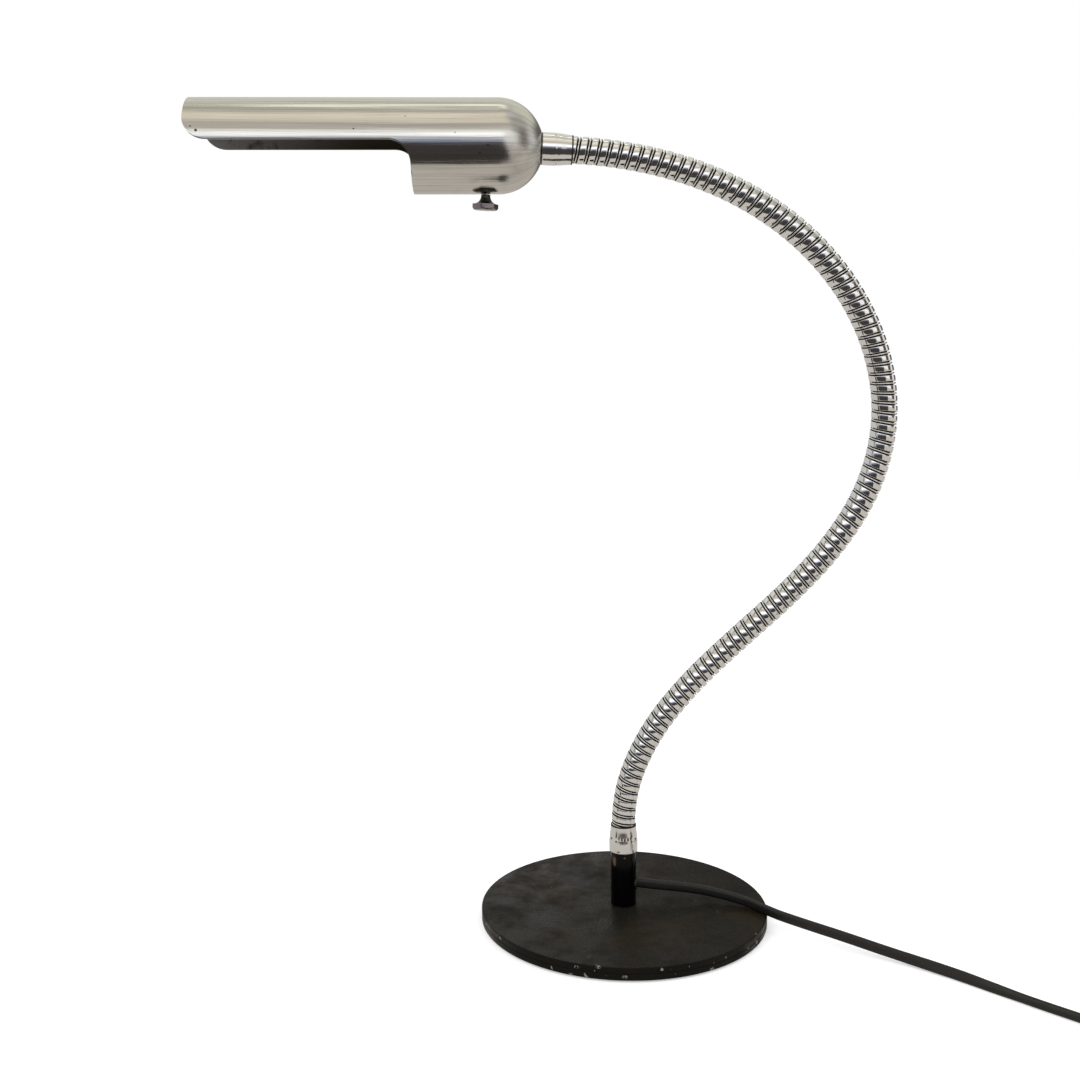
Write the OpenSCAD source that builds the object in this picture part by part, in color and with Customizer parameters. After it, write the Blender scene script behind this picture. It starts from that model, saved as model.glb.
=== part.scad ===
// Gooseneck desk lamp: a round two-plate base, a short post, a flexible metal
// neck and a half-open tubular shade with a rotary switch in its lampholder.
// Millimetres, +Z up. The origin is the centre of the felt's underside on the
// table. The shade points along -X and the neck bulges to +X.

/* [Base] */
// Diameter of the round base
base_d = 180; // [150:1:240]
// Thickness of the upper base plate
top_plate_t = 3.8; // [3.4:0.1:8]
// Thickness of the lower, weighting plate
weight_plate_t = 3.8; // [3.6:0.1:8]
// Thickness of the felt pad under the base
pad_t = 1; // [0.5:0.1:3]
// How far the felt stays back from the rim
pad_inset = 3; // [1:0.5:10]
// Chamfer on the rims of both plates
rim_chamfer = 0.5; // [0.2:0.1:1.2]
// Diameter of the circle that the plate screws lie on
screw_circle_d = 120; // [80:1:140]
// Thread diameter of the plate screws
screw_d = 4; // [3:0.5:5]
// Number of plate screws
screw_count = 3; // [3:1:6]

/* [Post] */
// Outer diameter of the post
post_d = 16; // [15.6:0.1:18]
// Wall of the post
post_wall = 1.5; // [1:0.1:1.8]
// Height of the post above the base
post_h = 34.4; // [32:0.2:60]
// Height of the cord's hole above the base
cord_exit_h = 13.4; // [13.4:0.2:14]
// Outer diameter of the hollow threaded rods
nipple_d = 10; // [9:0.1:10.4]
// Bore of the hollow threaded rods
nipple_bore = 7; // [6.6:0.1:7.4]
// Width across the flats of the thin nuts on those rods
nut_af = 13; // [12.4:0.1:13]
// Thickness of those nuts
nut_t = 2.4; // [1.8:0.1:2.4]
// Thickness of the washers under the nuts
washer_t = 0.8; // [0.5:0.1:1]

/* [Ferrules] */
// Length of each crimped ferrule
ferrule_l = 17.4; // [15:0.2:24]
// Wall at the ferrule's wide end
ferrule_wall = 1.35; // [1:0.05:2]
// Wall at the ferrule's rolled-down end on the neck
ferrule_lip = 0.4; // [0.3:0.05:0.8]
// Length of neck held inside each ferrule
neck_grip = 8; // [5:0.5:8]

/* [Neck] */
// Outer diameter of the flexible neck
neck_d = 15; // [14:0.1:15.2]
// Bore of the neck
neck_bore = 8; // [7:0.1:8.4]
// Length of one section between two bending places
section_l = 40.7; // [36:0.1:46]
// Width of one flat winding
band_w = 4.1; // [3.5:0.1:4.1]
// Diameter of the round wire between the windings
bead_d = 0.9; // [0.6:0.1:0.9]
// Depth from the winding's face to the neck's core
band_h = 0.8; // [0.5:0.1:1.2]
// Open length that lets two sections bend against each other
bend_gap = 3.2; // [3:0.1:4]
// Radius of the ball inside each bending place
ball_r = 6; // [5.6:0.1:6]
// Bend of a section at the foot of the neck, in degrees towards +X
bend_foot = 26.3; // [20:0.1:30]
// Bend one sixth of the way up
bend_low = 9; // [4:0.1:12]
// Bend one third of the way up, which turns back towards -X
bend_rise = -6.3; // [-9:0.1:-3]
// Bend half way along, where the neck is tightest
bend_crown = -21.9; // [-24:0.1:-18]
// Bend two thirds of the way along
bend_fall = -15.3; // [-18:0.1:-12]
// Bend five sixths of the way along
bend_reach = -11.7; // [-14:0.1:-9]
// Bend at the shade's end
bend_head = -7.4; // [-10:0.1:-4]
// Lean of a section at the foot, in degrees towards -Y
lean_foot = 0.1; // [0:0.1:1]
// Lean half way along
lean_mid = 1.6; // [0:0.1:2.5]
// Lean at the shade's end
lean_head = 2.1; // [0:0.1:3]
// Diameter of the lead inside the neck
lead_d = 6; // [5:0.1:6.2]

/* [Shade] */
// Outer diameter of the shade
shade_d = 52; // [50:0.5:60]
// Length of the shade from its seat on the neck to its open end
shade_l = 195; // [180:1:240]
// Wall of the shade
shade_wall = 1.2; // [0.8:0.1:1.6]
// Diameter of the flat seat on the dome
seat_d = 18.4; // [18:0.1:20]
// Length of the closed part of the shade, from the seat
closed_l = 72; // [71:0.5:90]
// Height of the side cut above the shade's axis
cut_h = 1; // [0:0.5:5]
// Corner radius of the side cut
cut_r = 12.5; // [6:0.5:16]
// Droop of the shade against the neck's end, in degrees
shade_tilt = 2.7; // [0:0.1:3]
// Turn of the shade about the neck's end, in degrees
shade_roll = 5.9; // [0:0.1:12]

/* [Lampholder] */
// Outer diameter of the lampholder's sleeve
holder_d = 39; // [37:0.5:40]
// Wall of the lampholder's sleeve
holder_wall = 2; // [1.4:0.1:2.4]
// Length of the lampholder's cap
cap_l = 17; // [16:0.5:18]
// Length of the lampholder's sleeve
sleeve_l = 47; // [46:0.5:47]
// Inner diameter of the lamp screw thread
lamp_thread_d = 26.8; // [26:0.1:28]
// Sheet thickness of the brass screw shell
shell_t = 0.5; // [0.3:0.1:0.8]
// Length of the brass screw shell
shell_l = 23; // [20:0.5:24]
// Thickness of the ceramic contact disc
contact_disc_t = 3; // [2.5:0.1:4]

/* [Switch] */
// Distance of the switch spindle from the shade's seat
spindle_at = 30.2; // [29.7:0.1:30.7]
// Diameter of the switch spindle
spindle_d = 3.4; // [3:0.1:3.6]
// Width across the flats of the hexagonal knob
knob_af = 13.2; // [11:0.1:15]
// Thickness of the knob's hexagonal head
knob_t = 3.4; // [3:0.1:6]
// Length of the knob's hollowed neck
knob_neck_l = 4.9; // [4:0.1:8]
// Diameter of the knob's neck
knob_neck_d = 5.3; // [4.6:0.1:7]

/* [Mains lead] */
// Width of the flat mains cord
cord_w = 6.2; // [5.8:0.1:6.4]
// Thickness of the flat mains cord
cord_t = 3.8; // [3.4:0.1:3.8]
// Mean radius of the stored coil
coil_r = 36; // [34:0.5:37]
// Turns of the coil that lie side by side
coil_columns = 2; // [2:1:2]
// Turns of the coil that lie on each other
coil_layers = 3; // [3:1:3]
// Length of the plug's body
plug_l = 36; // [32:0.5:40]
// Width of the plug's body at its face
plug_w = 27; // [25:0.5:32]
// Thickness of the plug's body
plug_t = 13.6; // [12:0.1:15]
// Diameter of a plug pin
pin_d = 4; // [4:0.1:4.8]
// Length of a plug pin
pin_l = 19; // [17:0.1:20]
// Distance between the plug pins
pin_gap = 18.6; // [17.5:0.1:19]

/* [Hidden] */

$fn = 64;
eps = 0.01;
// running clearance round turning parts, and fitting clearance elsewhere
run_gap = 0.05;
fit_gap = 0.1;
// clearance between pieces that move past each other
free_gap = 0.3;

// --- heights and radii of the base and post ---------------------------------
weight_z = pad_t;
top_plate_z = weight_z + weight_plate_t;
base_top = top_plate_z + top_plate_t;
post_r = post_d / 2;
post_bore = post_r - post_wall;
post_top = base_top + post_h;
exit_z = base_top + cord_exit_h;
nut_room_r = 13;
bush_h = 7.4;
anchor_h = 9;
screw_head_h = screw_d / 2;
screw_head_r = screw_d;
screw_depth = 2.4;
screw_slot = screw_d * 0.2;
grommet_wall = 0.9;
grommet_lip = 0.4;
grommet_rim = 0.3;
grommet_inset = 0.6;
post_nut_af = nipple_d * 1.7;
post_washer_r = nut_room_r - 2;
// slack round the anchor, and where its two openings for the cord begin
anchor_slack = 0.8;
anchor_slot_from = 2;
anchor_lead_from = 3.3;

// --- ferrules ----------------------------------------------------------------
neck_r = neck_d / 2;
ferrule_bore = neck_r + run_gap;
ferrule_wide_r = ferrule_bore + ferrule_wall;
ferrule_narrow_r = ferrule_bore + ferrule_lip;
crimp_at = ferrule_l * 0.5;
crimp_w = 1.2;
crimp_h = 0.5;
spigot_l = 7;
ferrule_round = 0.3;
lip_round = 0.2;
taper_end = ferrule_l * 0.82;
taper_step = 0.15;
// round punch marks: size of the punch, how far out it stops, and how far
// the marks lie below the crimp
punch_r = 1.9;
punch_out = 1.1;
punch_shift = 0.4;

// --- neck --------------------------------------------------------------------
sections = 14;
rings = 7;
neck_z = post_top + ferrule_l;
core_r = neck_r - band_h;
socket_r = ball_r + free_gap;
band_chamfer = 0.3;
band_bore_r = neck_bore / 2 - 0.2;
bead_inset = 0.1;
core_grip = 1;
shank_step = 0.6;
winding_l = section_l - bend_gap;

bend_stations = [
    [0, bend_foot], [1/6, bend_low], [2/6, bend_rise], [3/6, bend_crown],
    [4/6, bend_fall], [5/6, bend_reach], [1, bend_head]
];
lean_stations = [[0, lean_foot], [1/2, lean_mid], [1, lean_head]];

// share of the neck's length at the middle of section k, counted from 0
function share(k) = (k + 0.5) / sections;
function bend(k) = lookup(share(k), bend_stations);
function lean(k) = lookup(share(k), lean_stations);
// whole bend of a section, and the side it bends to as an angle about Z
function whole_bend(k) = norm([bend(k), lean(k)]);
function bend_side(k) = atan2(-lean(k), bend(k));

function shift(v) = [
    [1, 0, 0, v.x], [0, 1, 0, v.y], [0, 0, 1, v.z], [0, 0, 0, 1]
];
// rotation by a degrees about the unit axis n
function turn(n, a) =
    let (c = cos(a), s = sin(a), v = 1 - c)
    [
        [c + n.x * n.x * v, n.x * n.y * v - n.z * s, n.x * n.z * v + n.y * s, 0],
        [n.y * n.x * v + n.z * s, c + n.y * n.y * v, n.y * n.z * v - n.x * s, 0],
        [n.z * n.x * v - n.y * s, n.z * n.y * v + n.x * s, c + n.z * n.z * v, 0],
        [0, 0, 0, 1]
    ];
// step along an arc of length l that bends a degrees to the side at angle w
function arc_step(l, a, w) =
    let (
        r = l / (a * PI / 180),
        side = [cos(w), sin(w), 0],
        axis = [-sin(w), cos(w), 0]
    )
    shift(side * r * (1 - cos(a)) + [0, 0, r * sin(a)]) * turn(axis, a);
// frame inside section k, at the length s from its start
function in_section(k, s) =
    arc_step(s, whole_bend(k) * s / section_l, bend_side(k));
// frames at the starts of the sections, and one more at the neck's end
function frames_to(k) =
    k == 0
        ? [shift([0, 0, neck_z])]
        : let (before = frames_to(k - 1))
            concat(before, [before[k - 1] * in_section(k - 1, section_l)]);
frames = frames_to(sections);
function origin_of(m) = [m[0][3], m[1][3], m[2][3]];

// --- shade and lampholder, in the frame of the neck's end ---------------------
shade_r = shade_d / 2;
seat_r = seat_d / 2;
nut_z = neck_grip + run_gap;
washer_z = ferrule_l;
seat_z = washer_z + washer_t;
dome_back = sqrt(shade_r * shade_r - seat_r * seat_r);
dome_z = seat_z + dome_back;
cut_from = closed_l - dome_back;
open_end = shade_l - dome_back;
// where the open half of the shade begins, just past the cut's round corner
hood_step = 0.5;
round_past = 0.15;
hood_from = cut_from + cut_r + hood_step;
round_from = open_end - cut_r + round_past;
head_nut_z = seat_z + shade_wall;
head_cap_z = head_nut_z + washer_t + nut_t;
thread_in_cap = 9;
cap_spigot_l = 5;
cap_neck_h = 4;
cap_foot_r = nipple_d * 0.8;
cap_neck_r = nipple_d * 0.9;
cap_shoulder_r = holder_d / 2 - 4;
cap_shoulder_h = cap_l * 0.5;
cap_rim_h = cap_l * 0.68;
cap_wall = 2;
collar_r = seat_r - 0.4;
inner_washer_r = seat_r - 1.4;
sleeve_z = head_cap_z + cap_l - cap_spigot_l;
// the sleeve's mouth: lip thickness, its room round the shell, and its chamfers
mouth_t = 2;
mouth_gap = 1.2;
mouth_chamfer = 1;
holder_r = holder_d / 2;
sleeve_bore = holder_r - holder_wall;
spindle_z = seat_z + spindle_at;
block_z = head_cap_z + cap_l;
block_l = 15.5;
block_r = sleeve_bore - 1.5;
disc_z = block_z + block_l;
shell_z = disc_z + contact_disc_t;
shell_bore = lamp_thread_d / 2;
shell_r = shell_bore + shell_t;
shell_lip = 1;
shell_collar_h = 4.5;
collar_step = 0.6;
lead_end_z = head_cap_z + 6;
bush_r = spindle_d / 2 + 2;
bush_from = block_r - 3;
bush_to = holder_r + 1.6;
knob_room = 0.8;
knob_from = shade_r + knob_room;
spindle_from = 5;
spindle_to = knob_from + 6;
spindle_hole_r = spindle_d / 2 + 0.8;
terminal_r = 1.5;
terminal_head_r = 2.6;
terminal_head_h = 1.6;
terminal_slot = 0.6;
terminal_depth = 5.5;
contact_t = 0.5;
centre_l = 8;
centre_w = 5;
centre_h = 2.5;
side_w = 4;
side_h = 4;
side_room = 0.6;
knob_corner_r = knob_af / 2 / cos(30);
knob_turn = -11.5;
knob_chamfer = 1.3;
knob_slope = 0.85;
knob_rim = 0.5;
knob_l = knob_neck_l + knob_t;
knob_cove_from = 0.5;
// share of a chamfer's height in its width
rim_slope = 0.6;
nut_chamfer = 0.05;
head_frame = frames[sections] * turn([0, 0, 1], shade_roll);

// --- mains lead ----------------------------------------------------------------
// route of the cord's middle from inside the post to the coil
cord_route = [
    [3, 0, 22], [9, 0, 22], [15, 0.5, 21.3], [24, 1.7, 20], [36, 3.3, 18.4],
    [49, 4, 16.6], [61, 3, 14.6], [70, 0.6, 13.2], [77, -2.8, 12.3], [83.5, -8.8, 11.9],
    [90, -15.5, 11.7], [96, -20.5, 11.2], [103, -25, 10.6], [113, -31, 9.7],
    [124, -37, 8.6], [135, -42.5, 7.2], [148, -49.5, 5.6], [161, -57, 4.3],
    [175, -66, 3.4], [190, -77, 2.7], [206, -90.5, 2.1], [222, -104.5, 1.9],
    [238, -118, 1.9], [252, -130, 1.9], [265, -141, 1.9], [277, -151, 1.9]
];
// turn of the flat cord about its own length, over its distance from the post:
// it leaves on its edge and comes to lie flat before the coil
cord_turn = [[161, 90], [215, 0]];
coil_centre = [302, -121, 0];
turn_gap = 0.3;
coil_w = coil_columns * cord_w + (coil_columns - 1) * turn_gap;
coil_h = coil_layers * (cord_t + turn_gap);
tie_t = 1.2;
tie_w = 8;
tie_side = 100;
coil_in_r = coil_r - coil_w / 2;
// the coil's inside bulges by this much under a tie of this width
tie_room = coil_in_r - sqrt(coil_in_r * coil_in_r - tie_w * tie_w / 4) + fit_gap;
// the last turn, on top of the coil, and the way down to the plug
plug_route = [
    [277, -151, 14.2], [288.5, -158, 14.2], [302, -160, 14.2], [312, -159, 14.2],
    [321.5, -155, 14.2], [330, -148, 14.2], [336.5, -139, 14.2], [340, -130, 14.2],
    [341.3, -121, 14.2], [341.8, -112, 14.2], [342.2, -104, 14.2], [342.4, -99, 13.5],
    [342.5, -92, 11.7], [342.5, -84, 9.5], [342.5, -76, 7.9], [342.5, -69, 7.1],
    [342.5, -62, 7]
];
plug_at = [342.5, -64, 7];
plug_nose_l = 12;
plug_nose_wall = 0.6;
pin_root = 6;
pin_tip = 0.6;
pin_neck_d = pin_d - 1;

// -------------------------------------------------------------------------------

module at(m) multmatrix(m) children();

// ring-shaped solid between two radii
module ring(r_out, r_in, h) {
    difference() {
        cylinder(r = r_out, h = h);
        translate([0, 0, -1]) cylinder(r = r_in, h = h + 2);
    }
}

// disc with both rims chamfered
module plate(r, h, c) {
    rotate_extrude($fn = 128)
        polygon([[0, 0], [r - c, 0], [r, c], [r, h - c], [r - c, h], [0, h]]);
}

module hex_nut(af, bore, h) {
    difference() {
        intersection() {
            cylinder(r = af / 2 / cos(30), h = h, $fn = 6);
            chamfered_disc(af / 2 / cos(30), h, af * nut_chamfer);
        }
        translate([0, 0, -1]) cylinder(r = bore, h = h + 2);
    }
}

module chamfered_disc(r, h, c) {
    up = c * rim_slope;
    rotate_extrude()
        polygon([[0, 0], [r - c, 0], [r, up], [r, h - up], [r - c, h], [0, h]]);
}

module round_screw_places() {
    for (i = [0 : screw_count - 1])
        rotate([0, 0, 90 + i * 360 / screw_count])
            translate([screw_circle_d / 2, 0, 0]) children();
}

function direction(p, i) =
    let (
        a = p[max(i - 1, 0)],
        b = p[min(i + 1, len(p) - 1)]
    )
    (b - a) / norm(b - a);

// rod swept along a route, w wide across the plane of the route and the
// vector level, and h thick along it
module sweep(route, w, h, level, turned = [[0, 0]]) {
    n = 8;
    last = len(route) - 1;
    rounds = [
        for (i = [0 : last])
            let (
                t = direction(route, i),
                across = cross(level, t),
                flat = across / norm(across),
                over = cross(t, flat),
                a = lookup(route[i].x, turned),
                s = flat * cos(a) + over * sin(a),
                u = over * cos(a) - flat * sin(a)
            )
            [
                for (j = [0 : n - 1])
                    let (a = 360 * (j + 0.5) / n)
                    route[i] + s * cos(a) * w / 2 + u * sin(a) * h / 2
            ]
    ];
    polyhedron(
        points = [for (r = rounds) each r],
        faces = concat(
            [[for (j = [0 : n - 1]) n - 1 - j]],
            [[for (j = [0 : n - 1]) last * n + j]],
            [
                for (i = [0 : last - 1], j = [0 : n - 1])
                    let (k = (j + 1) % n)
                    [i * n + j, i * n + k, (i + 1) * n + k, (i + 1) * n + j]
            ]
        )
    );
}

// --- base ------------------------------------------------------------------------

module base_top_plate() {
    color([0.16, 0.14, 0.12])
        difference() {
            translate([0, 0, top_plate_z])
                plate(base_d / 2, top_plate_t, rim_chamfer);
            translate([0, 0, top_plate_z - 1])
                cylinder(r = nipple_d / 2 + fit_gap, h = top_plate_t + 2);
            round_screw_places()
                translate([0, 0, top_plate_z - 1])
                    cylinder(r = screw_d / 2 + run_gap, h = 1 + screw_depth + free_gap);
        }
}

module base_weight_plate() {
    color([0.13, 0.12, 0.11])
        difference() {
            translate([0, 0, weight_z])
                plate(base_d / 2, weight_plate_t, rim_chamfer);
            translate([0, 0, weight_z - 1])
                cylinder(r = nut_room_r, h = weight_plate_t + 2);
            round_screw_places() {
                translate([0, 0, weight_z - 1])
                    cylinder(r = screw_d / 2 + run_gap, h = weight_plate_t + 2);
                translate([0, 0, weight_z - eps])
                    cylinder(r1 = screw_head_r + run_gap,
                             r2 = screw_d / 2 + run_gap, h = screw_head_h);
            }
        }
}

module base_felt_pad() {
    color([0.12, 0.13, 0.12])
        cylinder(r = base_d / 2 - pad_inset, h = pad_t, $fn = 128);
}

module base_screws() {
    color("silver")
        round_screw_places()
            translate([0, 0, weight_z])
                difference() {
                    union() {
                        cylinder(r1 = screw_head_r, r2 = screw_d / 2, h = screw_head_h);
                        cylinder(r = screw_d / 2, h = weight_plate_t + screw_depth);
                    }
                    translate([-screw_head_r, -screw_slot / 2, -1])
                        cube([2 * screw_head_r, screw_slot, 1 + screw_slot]);
                }
}

// --- post ------------------------------------------------------------------------

module post() {
    color([0.05, 0.05, 0.05])
        translate([0, 0, base_top])
            difference() {
                cylinder(r = post_r, h = post_h);
                translate([0, 0, -1]) cylinder(r = post_bore, h = post_h + 2);
                translate([0, 0, cord_exit_h])
                    rotate([0, 90, 0])
                        cylinder(r = cord_w / 2 + grommet_wall + fit_gap, h = post_d);
            }
}

module post_bush() {
    color("goldenrod")
        translate([0, 0, base_top])
            ring(post_bore - run_gap, nipple_d / 2 + run_gap, bush_h);
}

module post_nipple() {
    color("silver")
        translate([0, 0, top_plate_z - washer_t - nut_t])
            ring(nipple_d / 2, nipple_bore / 2,
                 washer_t + nut_t + top_plate_t + bush_h);
}

module post_washer() {
    color("silver")
        translate([0, 0, top_plate_z - washer_t])
            ring(post_washer_r, nipple_d / 2 + fit_gap, washer_t);
}

module post_nut() {
    color("silver")
        translate([0, 0, top_plate_z - washer_t - nut_t])
            hex_nut(post_nut_af, nipple_d / 2 + run_gap, nut_t);
}

module cord_grommet() {
    color([0.03, 0.03, 0.03])
        translate([0, 0, exit_z])
            rotate([0, 90, 0])
                difference() {
                    union() {
                        translate([0, 0, post_bore - grommet_inset])
                            cylinder(r = cord_w / 2 + grommet_wall,
                                     h = post_wall + grommet_inset + grommet_lip);
                        translate([0, 0, post_r])
                            cylinder(r = cord_w / 2 + grommet_wall + grommet_rim,
                                     h = grommet_lip);
                    }
                    cord_slot(post_d);
                }
}

// room for the flat cord on its edge, along the local Z axis and as wide as local X
module cord_slot(l) {
    for (s = [-1, 1])
        translate([s * (cord_w - cord_t) / 2, 0, -1])
            cylinder(r = cord_t / 2 + fit_gap, h = l + 1);
    translate([-(cord_w - cord_t) / 2, -cord_t / 2 - fit_gap, -1])
        cube([cord_w - cord_t, cord_t + 2 * fit_gap, l + 1]);
}

module cord_anchor() {
    color([0.1, 0.1, 0.1])
        translate([0, 0, exit_z - anchor_h / 2])
            difference() {
                cylinder(r = post_bore - anchor_slack, h = anchor_h);
                translate([anchor_slot_from, 0, anchor_h / 2])
                    rotate([0, 90, 0]) cord_slot(post_r);
                translate([0, 0, anchor_h / 2 + anchor_lead_from])
                    cylinder(r = lead_d / 2 + fit_gap, h = anchor_h);
            }
}

// --- couplings and ferrules --------------------------------------------------------

// crimped sleeve; its wide end is at z = 0 and it rolls down towards +Z
module ferrule() {
    difference() {
        rotate_extrude()
            polygon([
                [ferrule_bore, 0],
                [ferrule_wide_r - ferrule_round, 0],
                [ferrule_wide_r, ferrule_round],
                [ferrule_wide_r, crimp_at - crimp_w],
                [ferrule_wide_r - crimp_h, crimp_at],
                [ferrule_wide_r - crimp_h * rim_slope, crimp_at + crimp_w],
                [ferrule_narrow_r + taper_step, taper_end],
                [ferrule_narrow_r, ferrule_l - lip_round],
                [ferrule_narrow_r - lip_round, ferrule_l],
                [ferrule_bore, ferrule_l]
            ]);
        // punch marks that lock the sleeve
        for (a = [0 : 120 : 240])
            rotate([0, 0, a - 90])
                translate([ferrule_wide_r + punch_out, 0, crimp_at - punch_shift])
                    sphere(r = punch_r, $fn = 32);
    }
}

// bush with a spigot in the post; the neck stands on it inside the ferrule
module lower_coupling() {
    color("silver")
        translate([0, 0, post_top])
            difference() {
                union() {
                    cylinder(r = ferrule_bore - run_gap, h = ferrule_l - neck_grip);
                    translate([0, 0, -spigot_l])
                        cylinder(r = post_bore - run_gap, h = spigot_l + 1);
                }
                translate([0, 0, -spigot_l - 1])
                    cylinder(d = neck_bore, h = spigot_l + ferrule_l);
            }
}

module lower_ferrule() {
    color([0.8, 0.8, 0.8]) translate([0, 0, post_top]) ferrule();
}

module upper_ferrule() {
    color([0.8, 0.8, 0.8])
        at(frames[sections])
            translate([0, 0, ferrule_l]) rotate([0, 180, 0]) ferrule();
}

// bush that the head's threaded rod turns in, behind its lock nut
module upper_coupling() {
    from = nut_z + nut_t + run_gap;
    color("silver")
        at(frames[sections])
            translate([0, 0, from])
                ring(ferrule_bore - run_gap, nipple_d / 2 + run_gap, ferrule_l - from);
}

// --- neck ----------------------------------------------------------------------------

// flat winding, a short ring in the frame of its own middle
module band() {
    translate([0, 0, -band_w / 2])
        rotate_extrude()
            polygon([
                [band_bore_r, 0], [neck_r - band_chamfer, 0],
                [neck_r, band_chamfer], [neck_r, band_w - band_chamfer],
                [neck_r - band_chamfer, band_w], [band_bore_r, band_w]
            ]);
}

// round wire on the core between two flat windings
module bead(l) {
    translate([0, 0, -l / 2]) ring(core_r, neck_bore / 2, l);
    rotate_extrude()
        translate([neck_r - bead_d / 2 - bead_inset, 0]) circle(d = bead_d, $fn = 24);
}

// one stretch of the neck: windings on a hollow core, a socket at its start
// and a hollow ball at its end
module neck_section(k) {
    first = k == 0;
    last = k == sections - 1;
    wound = last ? section_l : winding_l;
    pitch = (wound - band_w) / (rings - 1);
    color([0.78, 0.78, 0.8])
        at(frames[k])
            difference() {
                union() {
                    for (i = [0 : rings - 1])
                        at(in_section(k, band_w / 2 + i * pitch)) band();
                    for (i = [0 : rings - 2])
                        at(in_section(k, band_w / 2 + (i + 0.5) * pitch))
                            bead(pitch - band_w + 2 * core_grip);
                    if (first) translate([0, 0, -neck_grip]) shank();
                    if (last) at(in_section(k, section_l)) translate([0, 0, -1]) shank();
                    if (!last) at(in_section(k, section_l)) bend_ball();
                }
                if (!first) rotate([90, 0, 0]) sphere(r = socket_r);
            }
}

// plain end of the neck inside a ferrule
module shank() {
    ring(neck_r - shank_step, neck_bore / 2, neck_grip + 1);
}

module bend_ball() {
    difference() {
        sphere(r = ball_r);
        translate([0, 0, -ball_r - 1]) cylinder(d = neck_bore, h = 2 * ball_r + 2);
    }
}

// the lead that runs from the anchor in the post to the lampholder's cap
function lead_points() = concat(
    [for (z = [exit_z + anchor_lead_from, exit_z + anchor_h, post_top, neck_z - 1]) [0, 0, z]],
    [
        for (k = [0 : sections - 1], j = [0 : 3])
            origin_of(frames[k] * in_section(k, (j + 0.5) * section_l / 4))
    ],
    [
        for (z = [1, ferrule_l, lead_end_z])
            origin_of(frames[sections] * shift([0, 0, z]))
    ]
);

module neck_lead() {
    color([0.1, 0.1, 0.1]) sweep(lead_points(), lead_d, lead_d, [0, 1, 0]);
}

// --- shade -----------------------------------------------------------------------------

// children lie in the shade's own frame: the dome's centre is at 0, its open
// end towards +Z and the side cut faces -X
module in_shade() {
    at(head_frame)
        translate([0, 0, dome_z]) rotate([0, -shade_tilt, 0]) children();
}

// half outline of a tube with a round end at y = 0
module dome_outline(r, l) {
    intersection() {
        union() {
            circle(r = r, $fn = 128);
            square([r, l]);
        }
        translate([0, -r]) square([r, r + l]);
    }
}

// what is cut from the side of the shade, height to +X and length to +Y
module side_cut() {
    reach = shade_d;
    difference() {
        translate([cut_h - reach, cut_from]) square([reach, open_end]);
        difference() {
            translate([cut_h - cut_r, cut_from - 1]) square([cut_r + 1, cut_r + 1]);
            translate([cut_h - cut_r, cut_from + cut_r]) circle(r = cut_r);
        }
    }
    // the round of the open end's corner runs out a little past the end
    difference() {
        translate([cut_h - 1, round_from]) square([cut_r + 1, cut_r + 1]);
        translate([cut_h + cut_r, round_from]) circle(r = cut_r);
    }
}

// prism that takes the side cut out of the shade
module side_cutter() {
    rotate([90, 0, 0])
        translate([0, 0, -shade_d]) linear_extrude(height = 2 * shade_d) side_cut();
}

// open half of the shade, a channel that carries on from the closed part
module shade_hood() {
    color([0.75, 0.75, 0.73])
        in_shade()
            difference() {
                translate([0, 0, hood_from])
                    ring(shade_r, shade_r - shade_wall, open_end - hood_from);
                side_cutter();
            }
}

// closed part of the shade, with its round end and the rounded start of the cut
module shade() {
    color([0.75, 0.75, 0.73])
        difference() {
            union() {
                difference() {
                    in_shade()
                        rotate_extrude()
                            difference() {
                                dome_outline(shade_r, hood_from);
                                dome_outline(shade_r - shade_wall, hood_from + 1);
                            }
                    at(head_frame)
                        translate([0, 0, seat_z - shade_r])
                            cylinder(r = shade_r, h = shade_r);
                }
                // flat seat, square to the neck's end
                at(head_frame)
                    translate([0, 0, seat_z]) cylinder(r = seat_r - fit_gap, h = shade_wall);
            }
            in_shade() side_cutter();
            at(head_frame) {
                translate([0, 0, seat_z - 1])
                    cylinder(r = nipple_d / 2 + fit_gap, h = shade_wall + 3);
                translate([0, 0, spindle_z])
                    rotate([0, -90, 0])
                        cylinder(r = spindle_hole_r, h = shade_d);
            }
        }
}

module head_nipple() {
    color("silver")
        at(head_frame)
            translate([0, 0, nut_z])
                ring(nipple_d / 2, nipple_bore / 2, head_cap_z + thread_in_cap - nut_z);
}

module nipple_lock_nut() {
    color("silver")
        at(head_frame)
            translate([0, 0, nut_z])
                ring(nut_af / 2, nipple_d / 2 + run_gap, nut_t);
}

module shade_washer() {
    color([0.1, 0.1, 0.1])
        at(head_frame)
            translate([0, 0, washer_z]) ring(collar_r, nipple_d / 2 + fit_gap, washer_t);
}

module inner_washer() {
    color("silver")
        at(head_frame)
            translate([0, 0, head_nut_z])
                ring(inner_washer_r, nipple_d / 2 + fit_gap, washer_t);
}

module inner_nut() {
    color("silver")
        at(head_frame)
            translate([0, 0, head_nut_z + washer_t])
                hex_nut(nut_af, nipple_d / 2 + run_gap, nut_t);
}

// --- lampholder ----------------------------------------------------------------------------

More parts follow.
